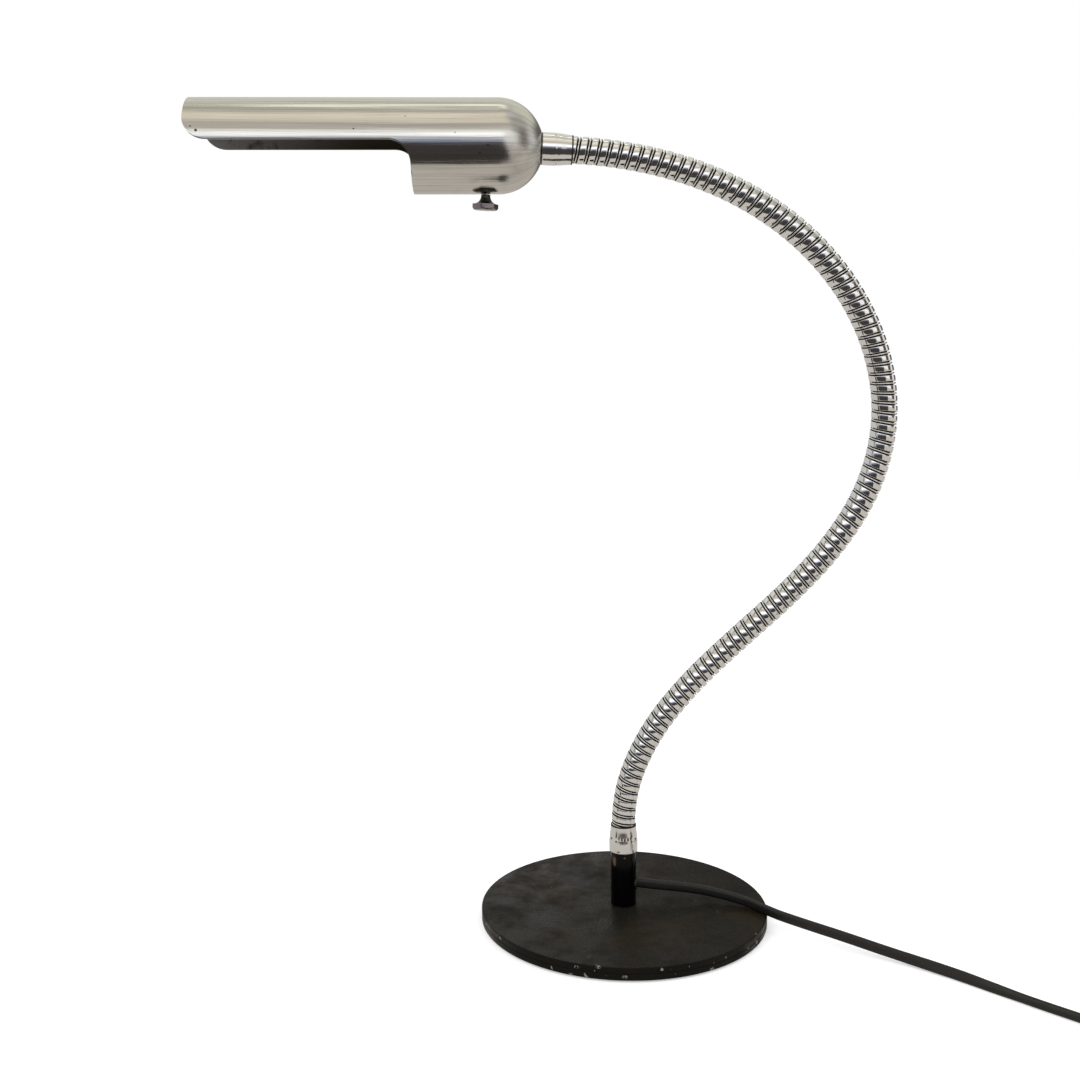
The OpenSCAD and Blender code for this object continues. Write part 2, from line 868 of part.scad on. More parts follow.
module holder_cap() {
    color([0.07, 0.06, 0.06])
        at(head_frame)
            translate([0, 0, head_cap_z])
                difference() {
                    rotate_extrude()
                        polygon([
                            [0, 0], [cap_foot_r, 0], [cap_neck_r, cap_neck_h],
                            [cap_shoulder_r, cap_shoulder_h], [holder_r, cap_rim_h],
                            [holder_r, cap_l - cap_spigot_l],
                            [sleeve_bore - fit_gap, cap_l - cap_spigot_l],
                            [sleeve_bore - fit_gap, cap_l], [0, cap_l]
                        ]);
                    translate([0, 0, -1])
                        cylinder(r = nipple_d / 2 + run_gap, h = thread_in_cap + 1);
                    translate([0, 0, thread_in_cap - eps])
                        cylinder(r = sleeve_bore - cap_wall, h = cap_l);
                }
}

module holder_sleeve() {
    color([0.07, 0.06, 0.06])
        at(head_frame)
            difference() {
                translate([0, 0, sleeve_z])
                    rotate_extrude()
                        polygon([
                            [sleeve_bore, 0], [holder_r, 0],
                            [holder_r, sleeve_l - mouth_chamfer],
                            [holder_r - mouth_chamfer, sleeve_l],
                            [shell_r + mouth_gap, sleeve_l],
                            [shell_r + mouth_gap, sleeve_l - mouth_t],
                            [sleeve_bore, sleeve_l - 2 * mouth_t]
                        ]);
                translate([0, 0, spindle_z])
                    rotate([0, -90, 0]) cylinder(r = bush_r + run_gap, h = shade_d);
            }
}

module switch_block() {
    color([0.2, 0.12, 0.07])
        at(head_frame)
            difference() {
                translate([0, 0, block_z]) cylinder(r = block_r, h = block_l);
                translate([0, 0, spindle_z])
                    rotate([0, -90, 0]) {
                        translate([0, 0, spindle_from - 1])
                            cylinder(r = spindle_d / 2 + run_gap, h = shade_d);
                        translate([0, 0, bush_from])
                            cylinder(r = bush_r + run_gap, h = shade_d);
                    }
                terminal_places()
                    translate([0, 0, block_z - 1])
                        cylinder(r = terminal_r + run_gap, h = 1 + terminal_depth + 0.5);
            }
}

module terminal_places() {
    for (s = [-1, 1]) translate([0, s * block_r * 0.55, 0]) children();
}

module terminal_screws() {
    color("gold")
        at(head_frame)
            terminal_places() {
                translate([0, 0, block_z - terminal_head_h])
                    difference() {
                        cylinder(r = terminal_head_r, h = terminal_head_h);
                        translate([-terminal_head_r - 1, -terminal_slot / 2, -1])
                            cube([2 * terminal_head_r + 2, terminal_slot, 1 + terminal_slot]);
                    }
                translate([0, 0, block_z - 0.5])
                    cylinder(r = terminal_r, h = terminal_depth + 0.5);
            }
}

module contact_disc() {
    color([0.9, 0.88, 0.82])
        at(head_frame)
            translate([0, 0, disc_z])
                cylinder(r = block_r, h = contact_disc_t);
}

// threaded sheet shell for the lamp, on a narrower plain collar
module screw_shell() {
    color("goldenrod")
        at(head_frame)
            translate([0, 0, shell_z])
                difference() {
                    union() {
                        cylinder(r = shell_r, h = shell_l);
                        cylinder(r = shell_r + shell_lip, h = shell_t);
                    }
                    translate([0, 0, shell_collar_h])
                        cylinder(d = lamp_thread_d, h = shell_l);
                    translate([0, 0, -1])
                        cylinder(d = lamp_thread_d - 2 * collar_step, h = shell_l);
                }
}

module centre_contact() {
    color("gold")
        at(head_frame)
            translate([0, 0, shell_z]) {
                translate([-centre_l / 2, -centre_w / 2, 0]) cube([centre_l, centre_w, contact_t]);
                cylinder(d = centre_w, h = centre_h);
            }
}

module side_contact() {
    color("gold")
        at(head_frame)
            translate([-side_w / 2, shell_bore - collar_step - side_room - side_w, shell_z]) {
                cube([side_w, side_w, contact_t]);
                translate([0, side_w - side_room, 0]) cube([side_w, side_room, side_h]);
            }
}

// --- switch, turning about an axis square to the lampholder's --------------------------------

module on_spindle() {
    at(head_frame) translate([0, 0, spindle_z]) rotate([0, -90, 0]) children();
}

module switch_bush() {
    color("goldenrod")
        on_spindle()
            translate([0, 0, bush_from])
                ring(bush_r, spindle_d / 2 + run_gap, bush_to - bush_from);
}

module switch_spindle() {
    color("silver")
        on_spindle()
            translate([0, 0, spindle_from])
                cylinder(r = spindle_d / 2, h = spindle_to - spindle_from);
}

// hexagonal knob on a hollowed neck; +Z points away from the shade
module switch_knob() {
    color([0.62, 0.56, 0.56])
        on_spindle()
            translate([0, 0, knob_from])
                difference() {
                    intersection() {
                        rotate_extrude() knob_outline();
                        rotate([0, 0, knob_turn])
                            translate([0, 0, -1])
                                cylinder(r = knob_corner_r, h = knob_l + 2, $fn = 6);
                    }
                    translate([0, 0, -1])
                        cylinder(d = spindle_d + 2 * eps, h = spindle_to - knob_from + 1);
                }
}

// half outline of the knob: a neck, a cove and a head whose outer rim slopes away
module knob_outline() {
    r = knob_neck_d / 2;
    rim_r = knob_corner_r - knob_chamfer;
    cove_r = min(knob_corner_r - knob_rim - r, knob_neck_l - knob_cove_from);
    past = knob_chamfer + free_gap;
    slope = past * knob_slope;
    difference() {
        square([r + cove_r, knob_neck_l]);
        translate([r + cove_r, knob_neck_l - cove_r]) circle(r = cove_r);
        translate([r, -1]) square([cove_r + 1, knob_neck_l - cove_r + 1]);
    }
    translate([0, knob_neck_l])
        polygon([
            [0, 0], [rim_r + past, 0], [rim_r + past, knob_t - slope],
            [rim_r, knob_t], [0, knob_t]
        ]);
}

// --- mains lead --------------------------------------------------------------------------------

module mains_cord() {
    color([0.06, 0.06, 0.06]) sweep(cord_route, cord_w, cord_t, [0, 0, 1], cord_turn);
}

module cord_coil() {
    color([0.06, 0.06, 0.06])
        translate(coil_centre)
            rotate_extrude($fn = 96)
                translate([coil_r - coil_w / 2, 0]) square([coil_w, coil_h]);
}

module coil_tie() {
    color([0.2, 0.2, 0.2])
        translate(coil_centre)
            rotate([0, 0, tie_side])
                translate([coil_r, -tie_w / 2, 0])
                    difference() {
                        translate([-coil_w / 2 - tie_t - tie_room, 0, 0])
                            cube([coil_w + 2 * tie_t + tie_room + fit_gap, tie_w,
                                  coil_h + tie_t + fit_gap]);
                        translate([-coil_w / 2 - tie_room, -1, -1])
                            cube([coil_w + tie_room + fit_gap, tie_w + 2,
                                  coil_h + 1 + fit_gap]);
                    }
}

module plug_lead() {
    color([0.06, 0.06, 0.06]) sweep(plug_route, cord_w, cord_t, [0, 0, 1]);
}

// the plug lies flat; children are placed with the pins towards +X
module at_plug() {
    translate(plug_at) rotate([0, 0, 90]) children();
}

module pin_places() {
    for (s = [-1, 1])
        translate([plug_l - pin_root, s * pin_gap / 2, 0]) rotate([0, 90, 0]) children();
}

module plug_body() {
    full_l = plug_l - plug_nose_l;
    color([0.08, 0.08, 0.08])
        at_plug()
            difference() {
                union() {
                    rotate([0, 90, 0])
                        cylinder(r1 = cord_w / 2 + plug_nose_wall, r2 = plug_t / 2,
                                 h = plug_nose_l);
                    translate([plug_nose_l - 1, 0, -plug_t / 2])
                        linear_extrude(height = plug_t)
                            polygon([
                                [0, -plug_t / 2], [0, plug_t / 2],
                                [full_l / 4, plug_w / 2], [full_l + 1, plug_w / 2],
                                [full_l + 1, -plug_w / 2], [full_l / 4, -plug_w / 2]
                            ]);
                }
                pin_places() cylinder(d = pin_neck_d + 2 * run_gap, h = pin_root + 1);
            }
}

module plug_pins() {
    straight = pin_root + pin_l - pin_tip;
    color("silver")
        at_plug()
            pin_places() {
                cylinder(d = pin_neck_d, h = pin_root + 1);
                translate([0, 0, pin_root])
                    cylinder(d = pin_d, h = straight - pin_root);
                translate([0, 0, straight])
                    cylinder(d1 = pin_d, d2 = pin_d - 2 * pin_tip, h = pin_tip);
            }
}

base_top_plate();
base_weight_plate();
base_felt_pad();
base_screws();
post();
post_bush();
post_nipple();
post_washer();
post_nut();
cord_grommet();
cord_anchor();
lower_coupling();
lower_ferrule();
for (k = [0 : sections - 1])
    neck_section(k);
neck_lead();
upper_ferrule();
upper_coupling();
head_nipple();
nipple_lock_nut();
shade_washer();
shade();
shade_hood();
inner_washer();
inner_nut();
holder_cap();
holder_sleeve();
contact_disc();
screw_shell();
centre_contact();
side_contact();
terminal_screws();
switch_block();
switch_bush();
switch_spindle();
switch_knob();
mains_cord();
cord_coil();
coil_tie();
plug_lead();
plug_body();
plug_pins();
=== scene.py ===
"""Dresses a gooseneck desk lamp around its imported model: windings, shade, cord, finishes and studio.

The classes hold their sizes in millimetres in the lamp's own frame, and Blender gets metres.
"""

import logging
import math
from dataclasses import dataclass, field
from enum import Enum
from typing import Callable, Optional, Sequence

import bmesh
import bpy
import numpy as np
from mathutils import Matrix, Vector


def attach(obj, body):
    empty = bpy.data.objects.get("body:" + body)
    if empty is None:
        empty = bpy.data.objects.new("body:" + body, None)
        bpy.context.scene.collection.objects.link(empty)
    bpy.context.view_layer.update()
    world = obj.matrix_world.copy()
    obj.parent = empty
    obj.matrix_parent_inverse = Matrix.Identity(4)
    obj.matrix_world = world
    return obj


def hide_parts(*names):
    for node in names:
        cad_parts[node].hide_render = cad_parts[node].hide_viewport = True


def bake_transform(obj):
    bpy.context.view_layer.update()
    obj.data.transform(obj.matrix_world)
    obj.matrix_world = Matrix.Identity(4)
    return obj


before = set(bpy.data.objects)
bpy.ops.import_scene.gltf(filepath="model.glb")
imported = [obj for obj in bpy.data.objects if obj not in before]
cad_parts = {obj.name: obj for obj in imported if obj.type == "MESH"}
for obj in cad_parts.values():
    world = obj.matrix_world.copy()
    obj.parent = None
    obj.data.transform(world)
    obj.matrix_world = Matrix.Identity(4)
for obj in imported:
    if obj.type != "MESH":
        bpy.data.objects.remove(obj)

LOG = logging.getLogger("desk_lamp")
MM = 0.001
TAU = 2 * math.pi

# middle line of the cord from inside the post to the coil, and from the coil to the plug
ROUTE_TO_COIL = (
    (3, 0, 22), (9, 0, 22), (15, 0.5, 21.3), (24, 1.7, 20), (36, 3.3, 18.4),
    (49, 4, 16.6), (61, 3, 14.6), (70, 0.6, 13.2), (77, -2.8, 12.3), (83.5, -8.8, 11.9),
    (90, -15.5, 11.7), (96, -20.5, 11.2), (103, -25, 10.6), (113, -31, 9.7),
    (124, -37, 8.6), (135, -42.5, 7.2), (148, -49.5, 5.6), (161, -57, 4.3),
    (175, -66, 3.4), (190, -77, 2.7), (206, -90.5, 2.1), (222, -104.5, 1.9),
    (238, -118, 1.9), (252, -130, 1.9), (265, -141, 1.9),
)
ROUTE_TO_PLUG = (
    (277, -151, 14.2), (288.5, -158, 14.2), (302, -160, 14.2), (312, -159, 14.2),
    (321.5, -155, 14.2), (330, -148, 14.2), (336.5, -139, 14.2), (340, -130, 14.2),
    (341.3, -121, 14.2), (341.8, -112, 14.2), (342.2, -104, 14.2), (342.4, -99, 13.5),
    (342.5, -92, 11.7), (342.5, -84, 9.5), (342.5, -76, 7.9), (342.5, -69, 7.1),
    (342.5, -62, 7),
)
HEAD_ROLL = 5.9
SPINDLE_HEIGHT = 48.4
KNOB_FROM = 26.6
SOCKET_FROM = 58.1

Colour = tuple[float, float, float]
Point = tuple[float, float, float]


class Body(str, Enum):
    """The bodies that pieces ride on, apart from the neck's own."""

    BASE = "base"
    HEAD = "neck_13"
    SHADE = "shade"
    KNOB = "knob"


class Slot(str, Enum):
    """The finish slots of the record."""

    WRINKLE = "wrinkle_black"
    GLOSS = "gloss_black"
    FELT = "felt"
    CHROME = "chrome"
    ALUMINIUM = "polished_aluminium"
    ZINC = "zinc_steel"
    BRASS = "brass"
    BAKELITE = "bakelite"
    CERAMIC = "ceramic"
    KNOB = "knob_metal"
    CORD = "cord_pvc"
    RUBBER = "rubber"
    PLUG = "plug_plastic"


# --- meshes ------------------------------------------------------------------------


@dataclass
class Draft:
    """Points, faces and surface coordinates of a piece while it is being made, in millimetres."""

    points: list = field(default_factory=list)
    faces: list = field(default_factory=list)
    corners: list = field(default_factory=list)
    skins: list = field(default_factory=list)

    def grid(
        self,
        rows: np.ndarray,
        closed: bool = False,
        skin: int = 0,
        surface: Optional[np.ndarray] = None,
    ) -> int:
        """Adds a sheet of four-sided faces through rows of points.

        Args:
            rows: Points, as an array of rows, columns and 3.
            closed: Whether the last column joins the first.
            skin: Number of the finish that the faces take.
            surface: Two coordinates for each row and column, one column more if closed.

        Returns:
            The number of the sheet's first point.
        """
        count, across = rows.shape[:2]
        first = len(self.points)
        self.points.extend(rows.reshape(-1, 3).tolist())
        columns = np.arange(across if closed else across - 1)
        for i in range(count - 1):
            a = first + i * across + columns
            b = first + i * across + (columns + 1) % across
            quads = np.stack([a, b, b + across, a + across], axis=1)
            self.faces.extend(quads.tolist())
            self.skins.extend([skin] * len(quads))
            if surface is None:
                self.corners.extend([[(0.0, 0.0)] * 4] * len(quads))
                continue
            low, high = surface[i], surface[i + 1]
            uv = np.stack(
                [low[columns], low[columns + 1], high[columns + 1], high[columns]], axis=1
            )
            self.corners.extend(uv.tolist())
        return first

    def turn(
        self,
        outline: Sequence[tuple[float, float]],
        sides: int,
        at: Optional[Matrix] = None,
        radius_of: Optional[Callable[[np.ndarray, float, float], np.ndarray]] = None,
    ) -> int:
        """Adds an outline turned about Z.

        Args:
            outline: Radius and height of each point, in order.
            sides: Points round each ring.
            at: Where the result goes, if not where it was turned.
            radius_of: As in lathe().

        Returns:
            The number of the first ring's first point.
        """
        rows = lathe(outline, sides, radius_of)
        rows = rows if at is None else placed(rows, at)
        return self.grid(rows, closed=True, surface=lathe_surface(outline, sides))

    def second_finish(self, around: int, rings: Sequence[bool]) -> None:
        """Gives the second finish to some rings of faces, counted from the draft's first.

        Args:
            around: Faces in each ring.
            rings: Whether each ring takes it.
        """
        for i, takes in enumerate(rings):
            if takes:
                self.skins[i * around:(i + 1) * around] = [1] * around

    def cap(self, first: int, count: int, skin: int = 0, backwards: bool = False) -> None:
        """Closes a ring of points with one face.

        Args:
            first: Number of the ring's first point.
            count: How many points the ring has.
            skin: Number of the finish that the face takes.
            backwards: Whether the face looks the other way.
        """
        ring = list(range(first, first + count))
        self.faces.append(ring[::-1] if backwards else ring)
        self.corners.append([(0.0, 0.0)] * count)
        self.skins.append(skin)

    def piece(
        self,
        name: str,
        finishes: Sequence[bpy.types.Material],
        crease: float = 35.0,
        outward: bool = True,
    ) -> bpy.types.Object:
        """Makes the Blender object.

        Args:
            name: The piece's name.
            finishes: Materials, in the order of the skins' numbers.
            crease: Angle in degrees above which an edge stays sharp.
            outward: Whether the faces are turned to look outwards.

        Returns:
            The new object, linked to the scene.
        """
        mesh = bpy.data.meshes.new(name)
        scaled = (np.array(self.points, float) * MM).tolist()
        mesh.from_pydata(scaled, [], self.faces)
        flat = np.array([c for face in self.corners for c in face], np.float32)
        layer = mesh.uv_layers.new(name="Surface")
        layer.data.foreach_set("uv", (flat * MM).ravel())
        mesh.polygons.foreach_set("material_index", np.array(self.skins, np.int32))
        for finish in finishes:
            mesh.materials.append(finish)
        mesh.validate()
        made = add_object(name, mesh)
        if outward:
            turn_outwards(mesh)
        mesh.shade_smooth()
        mesh.set_sharp_from_angle(angle=math.radians(crease))
        return made


def add_object(name: str, data: bpy.types.ID) -> bpy.types.Object:
    """A new object, linked to the scene."""
    made = bpy.data.objects.new(name, data)
    bpy.context.scene.collection.objects.link(made)
    return made


def rework(mesh: bpy.types.Mesh, change: Callable[[bmesh.types.BMesh], object]) -> None:
    """Opens a mesh for editing, changes it and closes it again."""
    work = bmesh.new()
    work.from_mesh(mesh)
    change(work)
    work.to_mesh(mesh)
    work.free()


def turn_outwards(mesh: bpy.types.Mesh) -> None:
    """Turns a mesh's faces to look outwards, as its closed parts need."""
    rework(mesh, lambda work: bmesh.ops.recalc_face_normals(work, faces=work.faces))


def join_points(mesh: bpy.types.Mesh, distance: float) -> None:
    """Joins a mesh's points that lie closer together than a distance in millimetres."""
    rework(
        mesh, lambda work: bmesh.ops.remove_doubles(work, verts=work.verts, dist=distance * MM)
    )


def ease(piece: bpy.types.Object, width: float, angle: float = 40.0) -> None:
    """Rounds a piece's sharp edges, by a width in millimetres."""
    bevel = piece.modifiers.new("eased_edges", "BEVEL")
    bevel.width = width * MM
    bevel.segments = 2
    bevel.limit_method = "ANGLE"
    bevel.angle_limit = math.radians(angle)
    bevel.harden_normals = False


def placed(rows: np.ndarray, at: Matrix) -> np.ndarray:
    """Points of any array moved by a matrix in millimetres."""
    m = np.array(at, float)
    return rows @ m[:3, :3].T + m[:3, 3]


def ring_points(angle: np.ndarray, radii: object, z: float) -> np.ndarray:
    """Points at some angles round Z, with one radius or one for each, at one height."""
    return np.stack([radii * np.cos(angle), radii * np.sin(angle), np.full(len(angle), z)], 1)


def lathe(
    outline: Sequence[tuple[float, float]],
    sides: int,
    radius_of: Optional[Callable[[np.ndarray, float, float], np.ndarray]] = None,
) -> np.ndarray:
    """Rows of points for an outline turned about Z.

    Args:
        outline: Radius and height of each point, in order.
        sides: Points round each ring.
        radius_of: Gives the radii at the angles, from angles, radius and height.

    Returns:
        An array of outline points, sides and 3.
    """
    angle = np.arange(sides) * TAU / sides
    rows = []
    for r, z in outline:
        radii = r if radius_of is None else radius_of(angle, r, z)
        rows.append(ring_points(angle, radii, z))
    return np.array(rows)


def lathe_surface(outline: Sequence[tuple[float, float]], sides: int) -> np.ndarray:
    """Surface coordinates of a lathe: length round at the widest place, and along the outline."""
    widest = max(r for r, _ in outline)
    steps = [math.dist(a, b) for a, b in zip(outline, outline[1:])]
    along = np.concatenate([[0.0], np.cumsum(steps)])
    around = np.linspace(0, TAU * widest, sides + 1)
    return np.stack(np.broadcast_arrays(around[None, :], along[:, None]), axis=2)


def rounded(
    corners: Sequence[tuple[float, float, float]], steps: int = 4
) -> list[tuple[float, float]]:
    """Points of an open outline whose corners are rounded.

    Args:
        corners: First and second coordinate of each corner, and its rounding.
        steps: Points in each rounding, less one.

    Returns:
        The outline's points.
    """
    out: list[tuple[float, float]] = []
    for i, (x, y, r) in enumerate(corners):
        here = Vector((x, y))
        if r <= 0 or i in (0, len(corners) - 1):
            out.append((x, y))
            continue
        before = Vector(corners[i - 1][:2]) - here
        after = Vector(corners[i + 1][:2]) - here
        reach = min(r, before.length / 2, after.length / 2)
        a, b = here + before.normalized() * reach, here + after.normalized() * reach
        for k in range(steps + 1):
            t = k / steps
            p = a * (1 - t) ** 2 + here * 2 * t * (1 - t) + b * t**2
            out.append((p.x, p.y))
    return out


def finely(outline: Sequence[tuple[float, float]], step: float) -> list[tuple[float, float]]:
    """An outline with points added on its lines, about a step apart."""
    out = [outline[0]]
    for a, b in zip(outline, outline[1:]):
        count = max(1, round(math.dist(a, b) / step))
        out += [tuple(np.array(a) + (np.array(b) - a) * (k + 1) / count) for k in range(count)]
    return out


def unit(rows: np.ndarray) -> np.ndarray:
    """Rows of three numbers, each brought to length 1."""
    return rows / np.linalg.norm(rows, axis=1)[:, None]


def smooth_route(points: Sequence[Point], step: float) -> np.ndarray:
    """A smooth line through points, with a spacing of about step.

    Args:
        points: Points that the line passes.
        step: Wanted distance between the line's own points.

    Returns:
        An array of points.
    """
    p = np.array(points, float)
    p = np.vstack([2 * p[0] - p[1], p, 2 * p[-1] - p[-2]])
    out = [p[1]]
    for a, b, c, d in zip(p, p[1:], p[2:], p[3:]):
        count = max(1, math.ceil(np.linalg.norm(c - b) / step))
        for k in range(1, count + 1):
            t = k / count
            out.append(
                0.5 * (
                    2 * b + (c - a) * t + (2 * a - 5 * b + 4 * c - d) * t**2
                    + (3 * b - a - 3 * c + d) * t**3
                )
            )
    return np.array(out)


def section_rows(
    line: np.ndarray, level: np.ndarray, section: Sequence[tuple[float, float]]
) -> np.ndarray:
    """Rows of a section carried along a line.

    Args:
        line: The line's points.
        level: Direction that the section's second axis keeps to, at each point.
        section: Points across the line, first sideways and then along level.

    Returns:
        An array of line points, section points and 3.
    """
    ahead = unit(np.gradient(line, axis=0))
    side = unit(np.cross(ahead, level))
    up = np.cross(side, ahead)
    shape = np.array(section, float)
    return (
        line[:, None]
        + side[:, None] * shape[None, :, 0:1]
        + up[:, None] * shape[None, :, 1:2]
    )


def oval(width: float, height: float, corner: float, steps: int = 4) -> list[tuple[float, float]]:
    """Points of a rectangle with round corners, counter-clockwise."""
    out = []
    for quarter, (sx, sy) in enumerate(((1, 1), (-1, 1), (-1, -1), (1, -1))):
        centre = (sx * (width / 2 - corner), sy * (height / 2 - corner))
        for k in range(steps + 1):
            a = (quarter + k / steps) * math.pi / 2
            out.append((centre[0] + corner * math.cos(a), centre[1] + corner * math.sin(a)))
    return out


# --- finishes ------------------------------------------------------------------------


class Nodes:
    """A node tree being built, with short calls for the nodes used here."""

    def __init__(self, tree: bpy.types.NodeTree) -> None:
        """Empties the tree.

        Args:
            tree: The node tree of a material or world.
        """
        self.tree = tree
        tree.nodes.clear()

    def new(self, kind: str) -> bpy.types.Node:
        """Adds a node, named without its ShaderNode."""
        return self.tree.nodes.new("ShaderNode" + kind)

    def link(self, start: bpy.types.NodeSocket, end: bpy.types.NodeSocket) -> None:
        """Joins two sockets."""
        self.tree.links.new(start, end)

    def put(self, socket: bpy.types.NodeSocket, value: object) -> None:
        """Links a socket, or sets its value."""
        if isinstance(value, bpy.types.NodeSocket):
            self.link(value, socket)
        else:
            socket.default_value = (*value, 1.0) if isinstance(value, tuple) else value

    def ramp(
        self, value: bpy.types.NodeSocket, low: float, high: float, top: float = 1.0
    ) -> bpy.types.NodeSocket:
        """Value stretched from low..high to 0..top, and kept there."""
        node = self.new("MapRange")
        node.interpolation_type = "SMOOTHSTEP"
        self.link(value, node.inputs["Value"])
        node.inputs["From Min"].default_value = low
        node.inputs["From Max"].default_value = high
        node.inputs["To Max"].default_value = top
        return node.outputs[0]

    def math(self, kind: str, a: object, b: object = 0.0) -> bpy.types.NodeSocket:
        """A sum on two numbers or sockets."""
        node = self.new("Math")
        node.operation = kind
        self.put(node.inputs[0], a)
        self.put(node.inputs[1], b)
        return node.outputs[0]

    def times(self, a: object, b: object) -> bpy.types.NodeSocket:
        """Two numbers or sockets multiplied."""
        return self.math("MULTIPLY", a, b)

    def plus(self, a: object, b: object) -> bpy.types.NodeSocket:
        """Two numbers or sockets added."""
        return self.math("ADD", a, b)

    def mix(self, share: object, a: object, b: object) -> bpy.types.NodeSocket:
        """A colour between a, at share 0, and b, at share 1."""
        node = self.new("Mix")
        node.data_type = "RGBA"
        self.put(node.inputs["Factor"], share)
        self.put(node.inputs[6], a)
        self.put(node.inputs[7], b)
        return node.outputs[2]


class Bench(Nodes):
    """A material being built."""

    def __init__(self, name: str) -> None:
        """Starts an empty material.

        Args:
            name: The material's name.
        """
        self.material = bpy.data.materials.new(name)
        self.material.use_nodes = True
        super().__init__(self.material.node_tree)
        self.out = self.new("OutputMaterial")
        self.shader = self.new("BsdfPrincipled")
        self.link(self.shader.outputs[0], self.out.inputs["Surface"])
        self.coords = self.new("TexCoord")

    def plain(self, **values: object) -> None:
        """Sets the shader's own sockets, named with underscores for spaces."""
        for key, value in values.items():
            self.put(self.shader.inputs[key.replace("_", " ")], value)

    def place(self, scale: Point = (1, 1, 1), surface: bool = False) -> bpy.types.NodeSocket:
        """Object or surface coordinates in metres, scaled."""
        node = self.new("Mapping")
        self.link(self.coords.outputs["UV" if surface else "Object"], node.inputs[0])
        node.inputs["Scale"].default_value = scale
        return node.outputs[0]

    def noise(
        self,
        scale: float,
        detail: float = 3.0,
        roughness: float = 0.55,
        at: Optional[bpy.types.NodeSocket] = None,
        bend: float = 0.0,
    ) -> bpy.types.NodeSocket:
        """Noise from 0 to 1, with scale cells a metre."""
        node = self.new("TexNoise")
        self.link(at or self.place(), node.inputs["Vector"])
        node.inputs["Scale"].default_value = scale
        node.inputs["Detail"].default_value = detail
        node.inputs["Roughness"].default_value = roughness
        node.inputs["Distortion"].default_value = bend
        return node.outputs[0]

    def streaks(
        self, scale: tuple[float, float], detail: float, roughness: float
    ) -> bpy.types.NodeSocket:
        """Noise drawn out on the surface, with cells a metre round it and along it."""
        return self.noise(1.0, detail, roughness, self.place((*scale, 1), surface=True))

    def glow(self, light: Colour) -> bpy.types.NodeSocket:
        """One even light."""
        node = self.new("Emission")
        self.put(node.inputs["Color"], light)
        return node.outputs[0]

    def cells(self, scale: float) -> bpy.types.NodeSocket:
        """Distance to scattered points, with scale cells a metre."""
        node = self.new("TexVoronoi")
        self.link(self.place(), node.inputs["Vector"])
        node.inputs["Scale"].default_value = scale
        return node.outputs["Distance"]

    def near(self, spot: Point, squeeze: Point, radius: float) -> bpy.types.NodeSocket:
        """1 at a spot of the lamp, in millimetres, falling to 0 at radius times squeeze."""
        scale = tuple(1 / (MM * radius * s) for s in squeeze)
        away = self.new("VectorMath")
        away.operation = "DISTANCE"
        self.link(self.place(scale), away.inputs[0])
        away.inputs[1].default_value = tuple(MM * p * s for p, s in zip(spot, scale))
        return self.ramp(away.outputs["Value"], 1.0, 0.55)

    def along(self, low: float, high: float) -> bpy.types.NodeSocket:
        """0 to 1 over a stretch of the second surface coordinate, in millimetres."""
        split = self.new("SeparateXYZ")
        self.link(self.place(surface=True), split.inputs[0])
        return self.ramp(split.outputs[1], low * MM, high * MM)

    def largest(self, *masks: bpy.types.NodeSocket) -> bpy.types.NodeSocket:
        """The largest of some masks."""
        out = masks[0]
        for mask in masks[1:]:
            out = self.math("MAXIMUM", out, mask)
        return out

    def bump(self, height: bpy.types.NodeSocket, distance: float, strength: float = 1.0) -> None:
        """Adds relief, of a height in millimetres, on top of what is there."""
        node = self.new("Bump")
        node.inputs["Strength"].default_value = strength
        node.inputs["Distance"].default_value = distance * MM
        self.link(height, node.inputs["Height"])
        normal = self.shader.inputs["Normal"]
        if normal.links:
            self.link(normal.links[0].from_socket, node.inputs["Normal"])
        self.link(node.outputs[0], normal)


